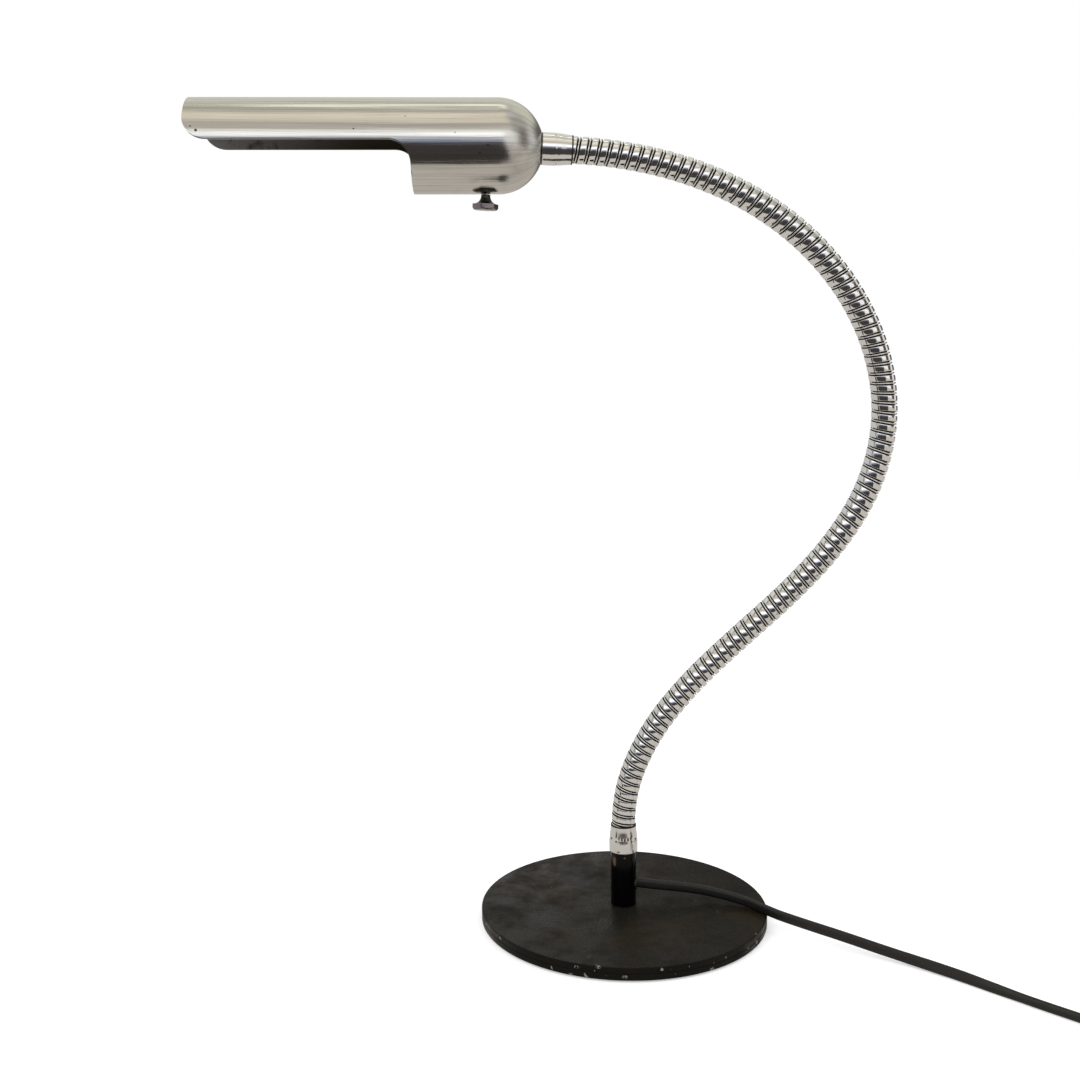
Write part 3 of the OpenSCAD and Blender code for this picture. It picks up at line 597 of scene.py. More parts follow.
@dataclass(frozen=True)
class WrinklePaint:
    """Old black wrinkle paint, browned in patches and chipped along the rims."""

    name: str = "wrinkle_paint"
    black: Colour = (0.0072, 0.0064, 0.0044)
    brown: Colour = (0.0150, 0.0096, 0.0050)
    painted_crest_highlight: Colour = (0.026, 0.0225, 0.0165)
    chip: Colour = (0.34, 0.31, 0.25)
    painted_rim_shade: Colour = (0.002, 0.002, 0.0016)
    rim_radius: float = 90.0
    rim_fade: tuple = (-1.6, -0.4)
    rim_chips: tuple = (
        (-26.1, -86.1, 6.6), (-14.1, -88.9, 8.3), (-29.5, -85.0, 1.4), (1.0, -90.0, 3.4),
        (-84.3, -31.5, 6.0), (-73.5, -52.0, 6.7), (79.6, -42.0, 3.9), (50.5, -74.5, 2.0),
    )

    def make(self) -> bpy.types.Material:
        """Builds the material."""
        b = Bench(self.name)
        patches = b.ramp(b.noise(19, 4, 0.6, bend=0.6), 0.46, 0.66)
        shade = b.mix(patches, self.black, self.brown)
        grain = b.noise(1100, 3, 0.6)
        # painted highlight: the raised crests of the wrinkle grain are coloured lighter
        shade = b.mix(b.ramp(grain, 0.36, 0.80, 0.7), shade, self.painted_crest_highlight)
        rim = self.rim_share(b)
        # painted shade: the plates' rims and sides are darkened, as sides catch less light
        shade = b.mix(b.times(rim, 0.55), shade, self.painted_rim_shade)
        chips = b.times(rim, b.ramp(b.noise(260, 2, 0.5), 0.70, 0.745))
        specks = b.ramp(b.cells(210), 0.060, 0.035)
        sparse = b.ramp(b.noise(70, 1), 0.60, 0.64)
        knocks = b.largest(*[b.near(spot, (1.3, 1.3, 0.8), 1.5) for spot in self.rim_chips])
        knocks = b.times(knocks, b.ramp(b.noise(900, 3, 0.6), 0.42, 0.55, 0.8))
        marks = b.largest(
            chips, b.times(specks, sparse), knocks, self.scratches(b)
        )
        b.plain(
            Base_Color=b.mix(marks, shade, self.chip),
            Roughness=b.ramp(b.noise(60, 3), 0.0, 1.0, 0.82),
            Specular_IOR_Level=0.11,
        )
        b.bump(grain, 0.20, 0.55)
        b.bump(b.cells(620), 0.22, 0.45)
        return b.material

    def rim_share(self, b: Bench) -> bpy.types.NodeSocket:
        """1 at the plates' rims and 0 further in."""
        length = b.new("VectorMath")
        length.operation = "LENGTH"
        b.link(b.place((1, 1, 0)), length.inputs[0])
        start, end = ((self.rim_radius + fade) * MM for fade in self.rim_fade)
        return b.ramp(length.outputs["Value"], start, end)

    def scratches(self, b: Bench) -> bpy.types.NodeSocket:
        """Short thin pale lines in two directions, faint."""
        lines = b.largest(*[
            b.ramp(b.noise(1.0, 2, 0.5, b.place(scale)), 0.725, 0.755, 0.30)
            for scale in ((30, 1300, 1), (900, 60, 1))
        ])
        return b.times(lines, b.ramp(b.noise(24, 2), 0.55, 0.66))


@dataclass(frozen=True)
class GlossPaint:
    """Smooth black enamel on the post, rubbed through to brown beside the ferrule."""

    name: str = "gloss_enamel"
    black: Colour = (0.0008, 0.001, 0.001)
    worn: Colour = (0.16, 0.105, 0.062)

    def make(self) -> bpy.types.Material:
        """Builds the material."""
        b = Bench(self.name)
        rub = b.near((-5.6, -5.7, 37.9), (1.0, 1.0, 2.4), 1.7)
        spot = b.near((0.8, -7.9, 40.6), (1.0, 1.0, 0.9), 0.8)
        ragged = b.ramp(b.noise(900, 3, 0.6), 0.34, 0.52)
        worn = b.times(b.math("MAXIMUM", rub, spot), ragged)
        dust = b.ramp(b.noise(1500, 2), 0.68, 0.74, 0.04)
        b.plain(
            Base_Color=b.mix(b.math("MAXIMUM", worn, dust), self.black, self.worn),
            Roughness=b.plus(b.times(worn, 0.4), 0.16),
            Specular_IOR_Level=0.13,
        )
        b.bump(b.noise(160, 2), 0.05, 0.35)
        return b.material


@dataclass(frozen=True)
class Chrome:
    """Bright plating with fine scratches, faint cloudiness and tiny rust pits."""

    name: str = "chrome"
    tint: Colour = (0.80, 0.80, 0.79)
    roughness: float = 0.07
    rust: Colour = (0.20, 0.085, 0.04)
    pits: float = 0.62
    scratch: float = 0.04

    def make(self) -> bpy.types.Material:
        """Builds the material."""
        b = Bench(self.name)
        cloudy = b.noise(120, 3)
        pit = b.times(
            b.ramp(b.cells(900), 0.16, 0.07), b.ramp(b.noise(90, 2), self.pits, 0.75)
        )
        b.plain(
            Base_Color=self.stained(b, b.mix(pit, self.tint, self.rust)),
            Metallic=b.math("SUBTRACT", 1.0, b.times(pit, 0.7)),
            Roughness=b.plus(b.ramp(cloudy, 0.35, 0.8, 0.09), self.roughness),
        )
        b.bump(b.streaks((300, 4000), 2, 0.5), self.scratch, 0.12)
        return b.material

    def stained(self, b: Bench, plating: bpy.types.NodeSocket) -> bpy.types.NodeSocket:
        """The plating's colour with its stains; plain chrome has none."""
        return plating


@dataclass(frozen=True)
class CrimpedChrome(Chrome):
    """The ferrules' plating: tool marks where the lower one was crimped, rust and a seam."""

    name: str = "crimped_chrome"
    roughness: float = 0.09
    scratch: float = 0.06
    mark: Colour = (0.022, 0.019, 0.016)
    smear: Colour = (0.17, 0.085, 0.05)
    crescent: tuple = ((1.0, -8.2, 53.4), (6.0, 3.8, 2.5))
    hollow: tuple = ((1.0, -8.2, 55.8), (6.2, 4.8, 3.0))
    seam: tuple = ((4.8, -7.4, 51.6), (0.34, 1.6, 8.8))
    rust_spots: tuple = (
        ((0.0, -8.6, 50.2), (3.9, 2.6, 1.1)), ((-3.1, -8.25, 44.6), (1.4, 1.4, 1.1)),
        ((6.3, -6.2, 44.4), (1.0, 1.4, 0.8)),
    )

    def stained(self, b: Bench, plating: bpy.types.NodeSocket) -> bpy.types.NodeSocket:
        """The plating's colour with the crescent of tool marks, rust smears and the seam."""
        ragged = b.ramp(b.noise(1500, 3, 0.65), 0.40, 0.56)
        hollow = b.math("SUBTRACT", 1.0, b.near(*self.hollow, 1.0))
        crescent = b.times(b.near(*self.crescent, 1.0), hollow)
        teeth = b.new("TexWave")
        b.link(b.place((1.0, 0.0, 0.55)), teeth.inputs["Vector"])
        teeth.inputs["Scale"].default_value = 170
        teeth.inputs["Distortion"].default_value = 2.5
        crescent = b.times(crescent, b.ramp(teeth.outputs["Fac"], 0.22, 0.45))
        dirt = b.times(b.math("MAXIMUM", crescent, b.near(*self.seam, 1.0)), 0.93)
        rust = b.largest(*[b.near(*spot, 1.0) for spot in self.rust_spots])
        colour = b.mix(dirt, plating, self.mark)
        return b.mix(b.times(rust, ragged), colour, self.smear)


@dataclass(frozen=True)
class BrushedAluminium:
    """Polished aluminium, streaked along its length, with dull stains, nicks and scratches."""

    name: str = "polished_aluminium"
    tint: Colour = (0.70, 0.69, 0.66)
    dull: Colour = (0.44, 0.43, 0.40)
    nick: Colour = (0.05, 0.045, 0.04)
    dome: tuple = (4.0, -16.0)
    pits: tuple = (
        ((-233.7, -84.9, 473.2), 0.55), ((-230.7, -84.9, 471.0), 1.0),
        ((-91.6, -71.2, 469.9), 0.45), ((-73.9, -69.0, 463.3), 0.6),
        ((-78.5, -68.3, 459.3), 0.5), ((-118.8, -71.7, 479.0), 0.4),
    )

    def make(self) -> bpy.types.Material:
        """Builds the material."""
        b = Bench(self.name)
        fine = b.streaks((2600, 22), 3, 0.6)
        broad = b.streaks((420, 6), 3, 0.55)
        stains = b.ramp(b.noise(55, 4, 0.6, bend=0.5), 0.58, 0.75, 0.55)
        nicks = b.times(
            b.ramp(b.cells(130), 0.075, 0.045), b.ramp(b.noise(48, 1), 0.62, 0.66)
        )
        pits = [b.near(spot, (1.0, 1.0, 1.0), size) for spot, size in self.pits]
        nicks = b.largest(nicks, self.scratches(b), *pits)
        tint = b.mix(b.ramp(broad, 0.34, 0.68, 0.55), self.tint, self.dull)
        tint = b.mix(b.ramp(fine, 0.50, 0.72, 0.40), tint, self.dull)
        tint = b.mix(b.times(stains, 0.45), tint, self.dull)
        rough = b.plus(b.ramp(fine, 0.25, 0.8, 0.12), 0.11)
        rough = b.plus(rough, b.times(stains, 0.14))
        rough = b.plus(rough, b.times(b.along(*self.dome), 0.13))
        b.plain(
            Base_Color=b.mix(nicks, tint, self.nick),
            Metallic=1.0,
            Roughness=rough,
            Anisotropic=0.35,
        )
        b.bump(fine, 0.024, 0.35)
        b.bump(broad, 0.30, 0.35)
        b.bump(b.noise(95, 2), 0.08, 0.22)
        return b.material

    def scratches(self, b: Bench) -> bpy.types.NodeSocket:
        """Short thin lines across and along the tube, few and faint."""
        lines = b.ramp(b.streaks((90, 2300), 2, 0.5), 0.745, 0.77, 0.4)
        return b.times(lines, b.ramp(b.noise(30, 2), 0.56, 0.66))


@dataclass(frozen=True)
class DullAluminium:
    """The shade's unpolished inside: grey at the open end, darker brown towards the closed end."""

    name: str = "dull_aluminium"
    grey: Colour = (0.30, 0.285, 0.265)
    brown: Colour = (0.075, 0.055, 0.037)
    blotch: Colour = (0.06, 0.048, 0.038)
    streak: Colour = (0.05, 0.04, 0.03)
    darker_inwards: tuple = (160.0, 70.0)

    def make(self) -> bpy.types.Material:
        """Builds the material."""
        b = Bench(self.name)
        blotches = b.ramp(b.noise(70, 4, 0.66, bend=0.9), 0.52, 0.68, 0.75)
        streaks = b.streaks((1400, 18), 3, 0.6)
        colour = b.mix(b.along(*self.darker_inwards), self.grey, self.brown)
        colour = b.mix(blotches, colour, self.blotch)
        b.plain(
            Base_Color=b.mix(b.ramp(streaks, 0.55, 0.75, 0.4), colour, self.streak),
            Metallic=0.55,
            Roughness=b.plus(b.ramp(streaks, 0.2, 0.9, 0.15), 0.42),
        )
        b.bump(streaks, 0.02, 0.4)
        return b.material


@dataclass(frozen=True)
class PlainMetal:
    """A metal with a fine machined grain and a little tarnish.

    The small parts inside the lamp use it in several colours.
    """

    name: str
    tint: Colour
    tarnish: Colour
    roughness: float = 0.28
    grain: float = 2500.0

    def make(self) -> bpy.types.Material:
        """Builds the material."""
        b = Bench(self.name)
        tarnish = b.ramp(b.noise(210, 4, 0.6), 0.42, 0.75, 0.7)
        b.plain(
            Base_Color=b.mix(tarnish, self.tint, self.tarnish),
            Metallic=1.0,
            Roughness=b.plus(b.times(tarnish, 0.2), self.roughness),
        )
        b.bump(b.noise(self.grain, 2), 0.01, 0.4)
        return b.material


@dataclass(frozen=True)
class Moulding:
    """A moulded material such as bakelite, ceramic, rubber or cord sheath."""

    name: str
    tint: Colour
    fleck: Colour
    roughness: float
    grain: float = 700.0
    relief: float = 0.03
    fleck_from: float = 0.52
    coat: float = 0.0

    def make(self) -> bpy.types.Material:
        """Builds the material."""
        b = Bench(self.name)
        fleck = b.ramp(b.noise(self.grain * 0.4, 4, 0.62), self.fleck_from, 0.8)
        rough = b.plus(b.ramp(b.noise(140, 3), 0.2, 0.9, 0.14), self.roughness)
        b.plain(
            Base_Color=b.mix(fleck, self.tint, self.fleck),
            Roughness=rough,
            Specular_IOR_Level=0.45,
            Coat_Weight=self.coat,
        )
        b.bump(b.noise(self.grain, 3), self.relief, 0.6)
        return b.material


@dataclass(frozen=True)
class Felt:
    """Pressed dark felt with a soft nap."""

    name: str = "felt"
    tint: Colour = (0.020, 0.021, 0.020)
    nap: Colour = (0.05, 0.05, 0.048)

    def make(self) -> bpy.types.Material:
        """Builds the material."""
        b = Bench(self.name)
        fibres = b.noise(2600, 4, 0.7, bend=2.0)
        b.plain(
            Base_Color=b.mix(b.ramp(fibres, 0.3, 0.8), self.tint, self.nap),
            Roughness=0.95,
            Sheen_Weight=0.5,
            Sheen_Roughness=0.5,
            Specular_IOR_Level=0.1,
        )
        b.bump(fibres, 0.15, 0.8)
        return b.material


class Paintbox:
    """All finishes of the lamp, each made once."""

    def __init__(self) -> None:
        """Builds the materials."""
        self.wrinkle = WrinklePaint().make()
        self.enamel = GlossPaint().make()
        self.chrome = Chrome().make()
        self.crimped = CrimpedChrome().make()
        self.winding = Chrome("winding_chrome", (0.82, 0.82, 0.81), 0.05, pits=0.74).make()
        # painted shade: the winding's groove sides and the tube behind take this dark finish for the
        # shade in the gaps
        self.groove = Moulding(
            "painted_groove_shade", (0.004, 0.0035, 0.003), (0.010, 0.008, 0.006), 0.7, 1800
        ).make()
        # painted shade: a dark ring at each ferrule's mouth stands for the shadow line where the neck
        # goes in
        self.mouth = Moulding(
            "painted_mouth_shade", (0.010, 0.007, 0.005), (0.030, 0.017, 0.010), 0.5, 1500
        ).make()
        # painted shade: the collar washer between dome and ferrule is coloured dark for the shadowed
        # gap there
        self.collar = PlainMetal("shaded_collar_steel", (0.10, 0.095, 0.09), (0.05, 0.04, 0.03)).make()
        self.aluminium = BrushedAluminium().make()
        self.inside = DullAluminium().make()
        self.zinc = PlainMetal("zinc_steel", (0.62, 0.62, 0.60), (0.42, 0.41, 0.38)).make()
        self.brass = PlainMetal("brass", (0.72, 0.52, 0.23), (0.34, 0.22, 0.10), 0.24).make()
        self.nickel = PlainMetal(
            "knob_nickel", (0.27, 0.235, 0.235), (0.17, 0.14, 0.135), 0.2, 1500
        ).make()
        # painted reflection: the knob's neck and cove are coloured dark olive, as they mirror the
        # shade's dark underside
        self.knob_neck = PlainMetal(
            "knob_neck_painted_reflection", (0.085, 0.083, 0.068), (0.03, 0.03, 0.024), 0.3, 1500
        ).make()
        self.bakelite = Moulding(
            "bakelite", (0.016, 0.010, 0.008), (0.035, 0.018, 0.012), 0.22, coat=0.3
        ).make()
        self.ceramic = Moulding("ceramic", (0.78, 0.75, 0.68), (0.62, 0.57, 0.48), 0.6).make()
        self.sheath = Moulding(
            "cord_sheath", (0.0065, 0.006, 0.0055), (0.011, 0.010, 0.009), 0.42, 420, 0.05
        ).make()
        self.rubber = Moulding("rubber", (0.010, 0.010, 0.011), (0.02, 0.02, 0.02), 0.55).make()
        self.plug = Moulding("plug_plastic", (0.014, 0.014, 0.015), (0.02, 0.02, 0.02), 0.38).make()
        self.felt = Felt().make()


# --- the neck's course -----------------------------------------------------------------


@dataclass(frozen=True)
class NeckCourse:
    """The line that the neck follows: fourteen arcs from the foot to the head."""

    foot: float = 60.4
    section: float = 40.7
    sections: int = 14
    bends: tuple = (26.3, 9.0, -6.3, -21.9, -15.3, -11.7, -7.4)
    leans: tuple = (0.1, 1.6, 2.1)

    @property
    def length(self) -> float:
        """Length between the two ferrules' neck ends."""
        return self.section * self.sections

    def curl(self, share: float) -> tuple[float, float]:
        """Bend and lean in degrees a section, at a share of the length."""
        bend = np.interp(share, np.linspace(0, 1, len(self.bends)), self.bends)
        lean = np.interp(share, np.linspace(0, 1, len(self.leans)), self.leans)
        return float(bend), float(lean)

    def step(self, section: int, along: float) -> Matrix:
        """Frame at a length inside a section, in the section's own frame."""
        bend, lean = self.curl((section + 0.5) / self.sections)
        whole = math.radians(math.hypot(bend, lean))
        side = math.atan2(-lean, bend)
        r, a = self.section / whole, whole * along / self.section
        out = Vector((math.cos(side), math.sin(side), 0))
        axis = Vector((-math.sin(side), math.cos(side), 0))
        move = out * r * (1 - math.cos(a)) + Vector((0, 0, r * math.sin(a)))
        return Matrix.Translation(move) @ Matrix.Rotation(a, 4, axis)

    def starts(self) -> list[Matrix]:
        """Frames at the starts of the sections, and one more at the head."""
        out = [Matrix.Translation((0, 0, self.foot))]
        for k in range(self.sections):
            out.append(out[-1] @ self.step(k, self.section))
        return out

    def stretch(self, along: float, angle: float, radius: float) -> float:
        """How much longer than the middle line the neck is at an angle and radius."""
        bend, lean = self.curl(min(max(along / self.length, 0), 1))
        if not 0 < along < self.length:
            return 1.0
        sharp = math.radians(math.hypot(bend, lean)) / self.section
        return 1 - sharp * radius * math.cos(angle - math.atan2(-lean, bend))


class Neck:
    """Frames along the neck, from inside the lower ferrule to inside the upper one."""

    def __init__(self, course: NeckCourse) -> None:
        """Works out the sections' frames.

        Args:
            course: The line that the neck follows.
        """
        self.course = course
        self.starts = course.starts()

    def frame(self, along: float) -> Matrix:
        """Frame at a length from the foot; straight on beyond either end."""
        if along <= 0:
            return self.starts[0] @ Matrix.Translation((0, 0, along))
        if along >= self.course.length:
            past = along - self.course.length
            return self.starts[-1] @ Matrix.Translation((0, 0, past))
        k = min(int(along // self.course.section), self.course.sections - 1)
        return self.starts[k] @ self.course.step(k, along - k * self.course.section)

    def middle(self, section: int) -> float:
        """Length from the foot to the middle of a section counted from 0."""
        return (section + 0.5) * self.course.section

    def ride(self, piece: bpy.types.Object, part: int) -> None:
        """Attaches a part of the neck to the base or the head; a part over a joint gets its place
        baked into its points and rides on no body.

        Args:
            piece: The part's object.
            part: 0 before the first joint's stretch, then 1 for each stretch over a joint.
        """
        last = self.course.sections
        if part == 0:
            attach(piece, Body.BASE.value)
        elif part == last:
            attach(piece, Body.HEAD.value)
        else:
            start = self.frame(self.middle(part - 1)).translation * MM
            end = self.frame(self.middle(part)).translation * MM
            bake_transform(piece)

    def span(self, part: int, before: float, after: float) -> tuple[float, float]:
        """Lengths from the foot where a part starts and ends.

        Args:
            part: As in ride().
            before: Where the whole run starts.
            after: Where the whole run ends.
        """
        last = self.course.sections
        start = before if part == 0 else self.middle(part - 1)
        return start, after if part == last else self.middle(part)


@dataclass
class Windings:
    """The neck's wide flat winding, the round wire in its gap, and the tube behind them."""

    neck: Neck
    paint: Paintbox
    radius: float = 7.5
    foot_pitch: float = 5.5
    head_pitch: float = 5.95
    band_width: float = 3.2
    crown: float = 0.06
    shoulder: float = 0.22
    depth: float = 1.4
    wire: float = 0.95
    wire_sink: float = 0.12
    wire_sides: int = 8
    grain_step: float = 0.45
    grain_from: float = 10.0
    edge_slant: float = 0.35
    core_radius: float = 6.0
    core_sides: int = 24
    core_step: float = 3.0
    turn_steps: int = 36
    phase: float = 150.0
    tucked: float = 5.0

    def along(self, turns: float) -> float:
        """Length from the foot after a number of turns."""
        gain = (self.head_pitch - self.foot_pitch) / self.neck.course.length
        return (math.exp(turns * gain) - 1) * self.foot_pitch / gain

    def turns(self, along: float) -> float:
        """Number of turns at a length from the foot."""
        gain = (self.head_pitch - self.foot_pitch) / self.neck.course.length
        return math.log(1 + along * gain / self.foot_pitch) / gain

    def band_section(self) -> list[tuple[float, float, int]]:
        """Radius, place across and skin of the flat winding's section, from inside to inside."""
        half = self.band_width / 2
        top = self.radius - self.crown
        # skin 1 on the band's sides is the painted groove shade
        side = [(self.radius - self.depth, half - self.edge_slant, 1)]
        for k in range(4):
            a = k / 3 * math.pi / 2
            fall = self.shoulder * (1 - math.sin(a))
            side.append((top - fall, half - self.shoulder * (1 - math.cos(a)), int(k < 1)))
        side += [(top + self.crown * 0.75, half * 0.45, 0), (self.radius, 0.0, 0)]
        return side + [(r, -x, s) for r, x, s in side[-2::-1]]

    def band_rows(self, first: float, last: float) -> tuple[np.ndarray, np.ndarray]:
        """Rows and surface coordinates of the flat winding between two numbers of turns."""
        section = self.band_section()
        count = max(2, round((last - first) * self.turn_steps) + 1)
        rows, surface = [], []
        for t in np.linspace(first, last, count):
            middle, angle = self.along(t), -t * TAU + math.radians(self.phase)
            wider = (self.along(t + 0.5) - self.along(t - 0.5)) / self.foot_pitch
            row = []
            for r, across, _ in section:
                reach = across * wider / self.neck.course.stretch(middle, angle, self.radius)
                s = middle + reach
                out = Vector((r * math.cos(angle), r * math.sin(angle), 0))
                row.append(tuple(self.neck.frame(s) @ out))
            rows.append(row)
            surface.append([(t * TAU * self.radius, x + self.grain_from) for _, x, _ in section])
        return np.array(rows), np.array(surface)

    def wire_rows(self, first: float, last: float) -> tuple[np.ndarray, np.ndarray]:
        """Rows and surface coordinates of the round wire between two numbers of turns."""
        count = max(2, round((last - first) * self.turn_steps) + 1)
        rows, surface = [], []
        for t in np.linspace(first, last, count):
            middle, angle = self.along(t + 0.5), -t * TAU + math.radians(self.phase)
            row = []
            for k in range(self.wire_sides):
                a = k * TAU / self.wire_sides
                r = self.radius - self.wire_sink - self.wire / 2 * (1 - math.cos(a))
                at = self.neck.frame(middle + self.wire / 2 * math.sin(a))
                row.append(tuple(at @ Vector((r * math.cos(angle), r * math.sin(angle), 0))))
            rows.append(row)
            across = [k * self.grain_step for k in range(self.wire_sides + 1)]
            surface.append([(t * TAU * self.radius, x) for x in across])
        return np.array(rows), np.array(surface)

    def core_rows(self, start: float, end: float) -> np.ndarray:
        """Rows of the tube behind the windings, coloured dark as painted shade in the gaps."""
        count = max(3, round((end - start) / self.core_step))
        ring = lathe([(self.core_radius, 0.0)], self.core_sides)[0]
        return np.array([placed(ring, self.neck.frame(s)) for s in np.linspace(start, end, count)])

    def build(self) -> None:
        """Makes the windings in parts that meet in the middle of each section."""
        course = self.neck.course
        skins = [s for _, _, s in self.band_section()]
        for part in range(course.sections + 1):
            start, end = self.neck.span(part, -self.tucked, course.length + self.tucked)
            draft = Draft()
            first, last = self.turns(start), self.turns(end)
            band, where = self.band_rows(first, last)
            draft.grid(band, surface=where)
            draft.skins = [int(a or b) for a, b in zip(skins, skins[1:])] * (len(band) - 1)
            wire, where = self.wire_rows(first - 0.5, last - 0.5)
            draft.grid(wire, closed=True, surface=where)
            draft.grid(self.core_rows(start, end), closed=True, skin=1)
            piece = draft.piece(
                f"neck_winding_{part + 1}",
                [self.paint.winding, self.paint.groove],
                50,
                outward=False,
            )
            if part < course.sections:
                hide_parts(f"neck_section_{part + 1}")
            self.neck.ride(piece, part)
        LOG.info("neck: %d turns in %d parts", round(self.turns(course.length)), part + 1)


@dataclass
class Lead:
    """The round lead inside the neck, from the anchor in the post to the lampholder's cap."""

    neck: Neck
    paint: Paintbox
    diameter: float = 6.0
    from_foot: float = -35.1
    past_head: float = 28.6
    sides: int = 16
    step: float = 4.0

    def build(self) -> None:
        """Makes the lead in parts that meet in the middle of each section, as the windings do."""
        course = self.neck.course
        end_of_run = course.length + self.past_head
        ring = lathe([(self.diameter / 2, 0.0)], self.sides)[0]
        for part in range(course.sections + 1):
            start, end = self.neck.span(part, self.from_foot, end_of_run)
            count = max(4, round((end - start) / self.step))
            rows = [placed(ring, self.neck.frame(s)) for s in np.linspace(start, end, count)]
            draft = Draft()
            first = draft.grid(np.array(rows), closed=True)
            draft.cap(first, self.sides, backwards=True)
            draft.cap(first + self.sides * (count - 1), self.sides)
            piece = draft.piece(f"inner_lead_{part + 1}", [self.paint.sheath])
            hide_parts("neck_lead")
            self.neck.ride(piece, part)
        LOG.info("lead inside the neck: %.0f mm", end_of_run - self.from_foot)


# --- base, post and ferrules -------------------------------------------------------------


@dataclass
class Base:
    """Two round plates on a felt pad, and the gloss post on them."""

    paint: Paintbox
    diameter: float = 180.0
    pad: float = 1.0
    weight_plate: float = 3.8
    top_plate: float = 3.8
    rim: float = 0.55
    hole: float = 5.1
    nut_room: float = 13.0
    post_diameter: float = 16.0
    post_wall: float = 1.5
    post_height: float = 34.4
    sides: int = 360
    post_sides: int = 160

    @property
    def top(self) -> float:
        """Height of the upper plate's top."""
        return self.pad + self.weight_plate + self.top_plate

    def build(self) -> None:
        """Makes the plates and the post."""
        middle = self.pad + self.weight_plate
        self.plate("lower_plate", "base_weight_plate", self.pad, middle, self.nut_room)
        self.plate("upper_plate", "base_top_plate", middle, self.top, self.hole)
        self.post()
        LOG.info("base: %.0f mm wide, post to %.1f mm", self.diameter, self.top + self.post_height)

    def plate(self, name: str, node: str, low: float, high: float, hole: float) -> None:
        """One plate with rounded rims.

        Args:
            name: The piece's name.
            node: The CAD node that it stands for.
            low: Height of its underside.
            high: Height of its top.
            hole: Radius of its middle hole.
        """
        edge = self.diameter / 2
        outline = rounded(
            [(hole, low, 0), (edge, low, self.rim), (edge, high, self.rim), (hole, high, 0)], 5
        )
        outline.append((hole, low))
        draft = Draft()
        draft.turn(outline, self.sides)
        piece = draft.piece(name, [self.paint.wrinkle], 50)
        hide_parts(node)
        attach(piece, Body.BASE.value)

    def post(self) -> None:
        """The post: a tube with eased rims."""
        r, bore = self.post_diameter / 2, self.post_diameter / 2 - self.post_wall
        low, high = self.top, self.top + self.post_height
        outline = rounded(
            [(bore, low, 0), (r, low, 0.25), (r, high, 0.5), (bore, high, 0.3), (bore, low, 0)], 4
        )
        draft = Draft()
        draft.turn(outline, self.post_sides)
        piece = draft.piece("gloss_post", [self.paint.enamel], 50)
        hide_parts("post")
        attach(piece, Body.BASE.value)


@dataclass
class Ferrule:
    """A crimped chrome sleeve; its wide end is at 0 and it rolls down towards +Z."""

    paint: Paintbox
    name: str
    node: str
    body: Body
    at: Matrix
    length: float = 17.4
    bore: float = 7.55
    wide: float = 8.9
    narrow: float = 7.95
    crimp: float = 8.7
    punch: float = 1.9
    punch_out: float = 1.1
    punch_drop: float = 0.4
    punches: tuple = (-30.0, 90.0, 210.0)
    mouth: float = 0.95
    sides: int = 200
    spacing: float = 0.35

    def outline(self) -> list[tuple[float, float]]:
        """Radius and height round the sleeve's section, finely spaced."""
        corners = [
            (self.bore, 0.0, 0), (self.wide, 0.0, 0.35), (self.wide, self.crimp - 1.5, 1.0),
            (self.wide - 0.24, self.crimp, 1.0), (self.wide - 0.26, self.crimp + 1.4, 1.4),
            (self.narrow + 0.15, self.length * 0.82, 2.0), (self.narrow, self.length, 0.3),
            (self.bore, self.length, 0),
        ]
        return finely(rounded(corners, 5), self.spacing) + [(self.bore, 0.0)]

    def punched(self, angle: np.ndarray, r: float, z: float) -> np.ndarray:
        """Radii round the sleeve at one height, with the punch marks pressed in."""
        radii = np.full(len(angle), r)
        if r < self.narrow:
            return radii
        for mark in self.punches:
            turn = (angle - math.radians(mark) + math.pi) % TAU - math.pi
            away = (turn * r) ** 2 + (z - self.crimp + self.punch_drop) ** 2
            deep = np.sqrt(np.clip(self.punch**2 - away, 0, None)) - self.punch_out
            radii = np.minimum(radii, self.wide - np.clip(deep, 0, None))
        return radii

    def build(self) -> None:
        """Makes the sleeve."""
        outline = self.outline()
        draft = Draft()
        draft.turn(outline, self.sides, self.at, self.punched)
        # the last rings of the sleeve take the painted mouth shade
        shade_from = self.length - self.mouth
        mouth = [min(a[1], b[1]) > shade_from for a, b in zip(outline, outline[1:])]
        draft.second_finish(self.sides, mouth)
        piece = draft.piece(self.name, [self.paint.crimped, self.paint.mouth], 40)
        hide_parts(self.node)
        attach(piece, self.body.value)
        LOG.info("%s: %d rings", self.name, len(outline))


# --- head ------------------------------------------------------------------------------


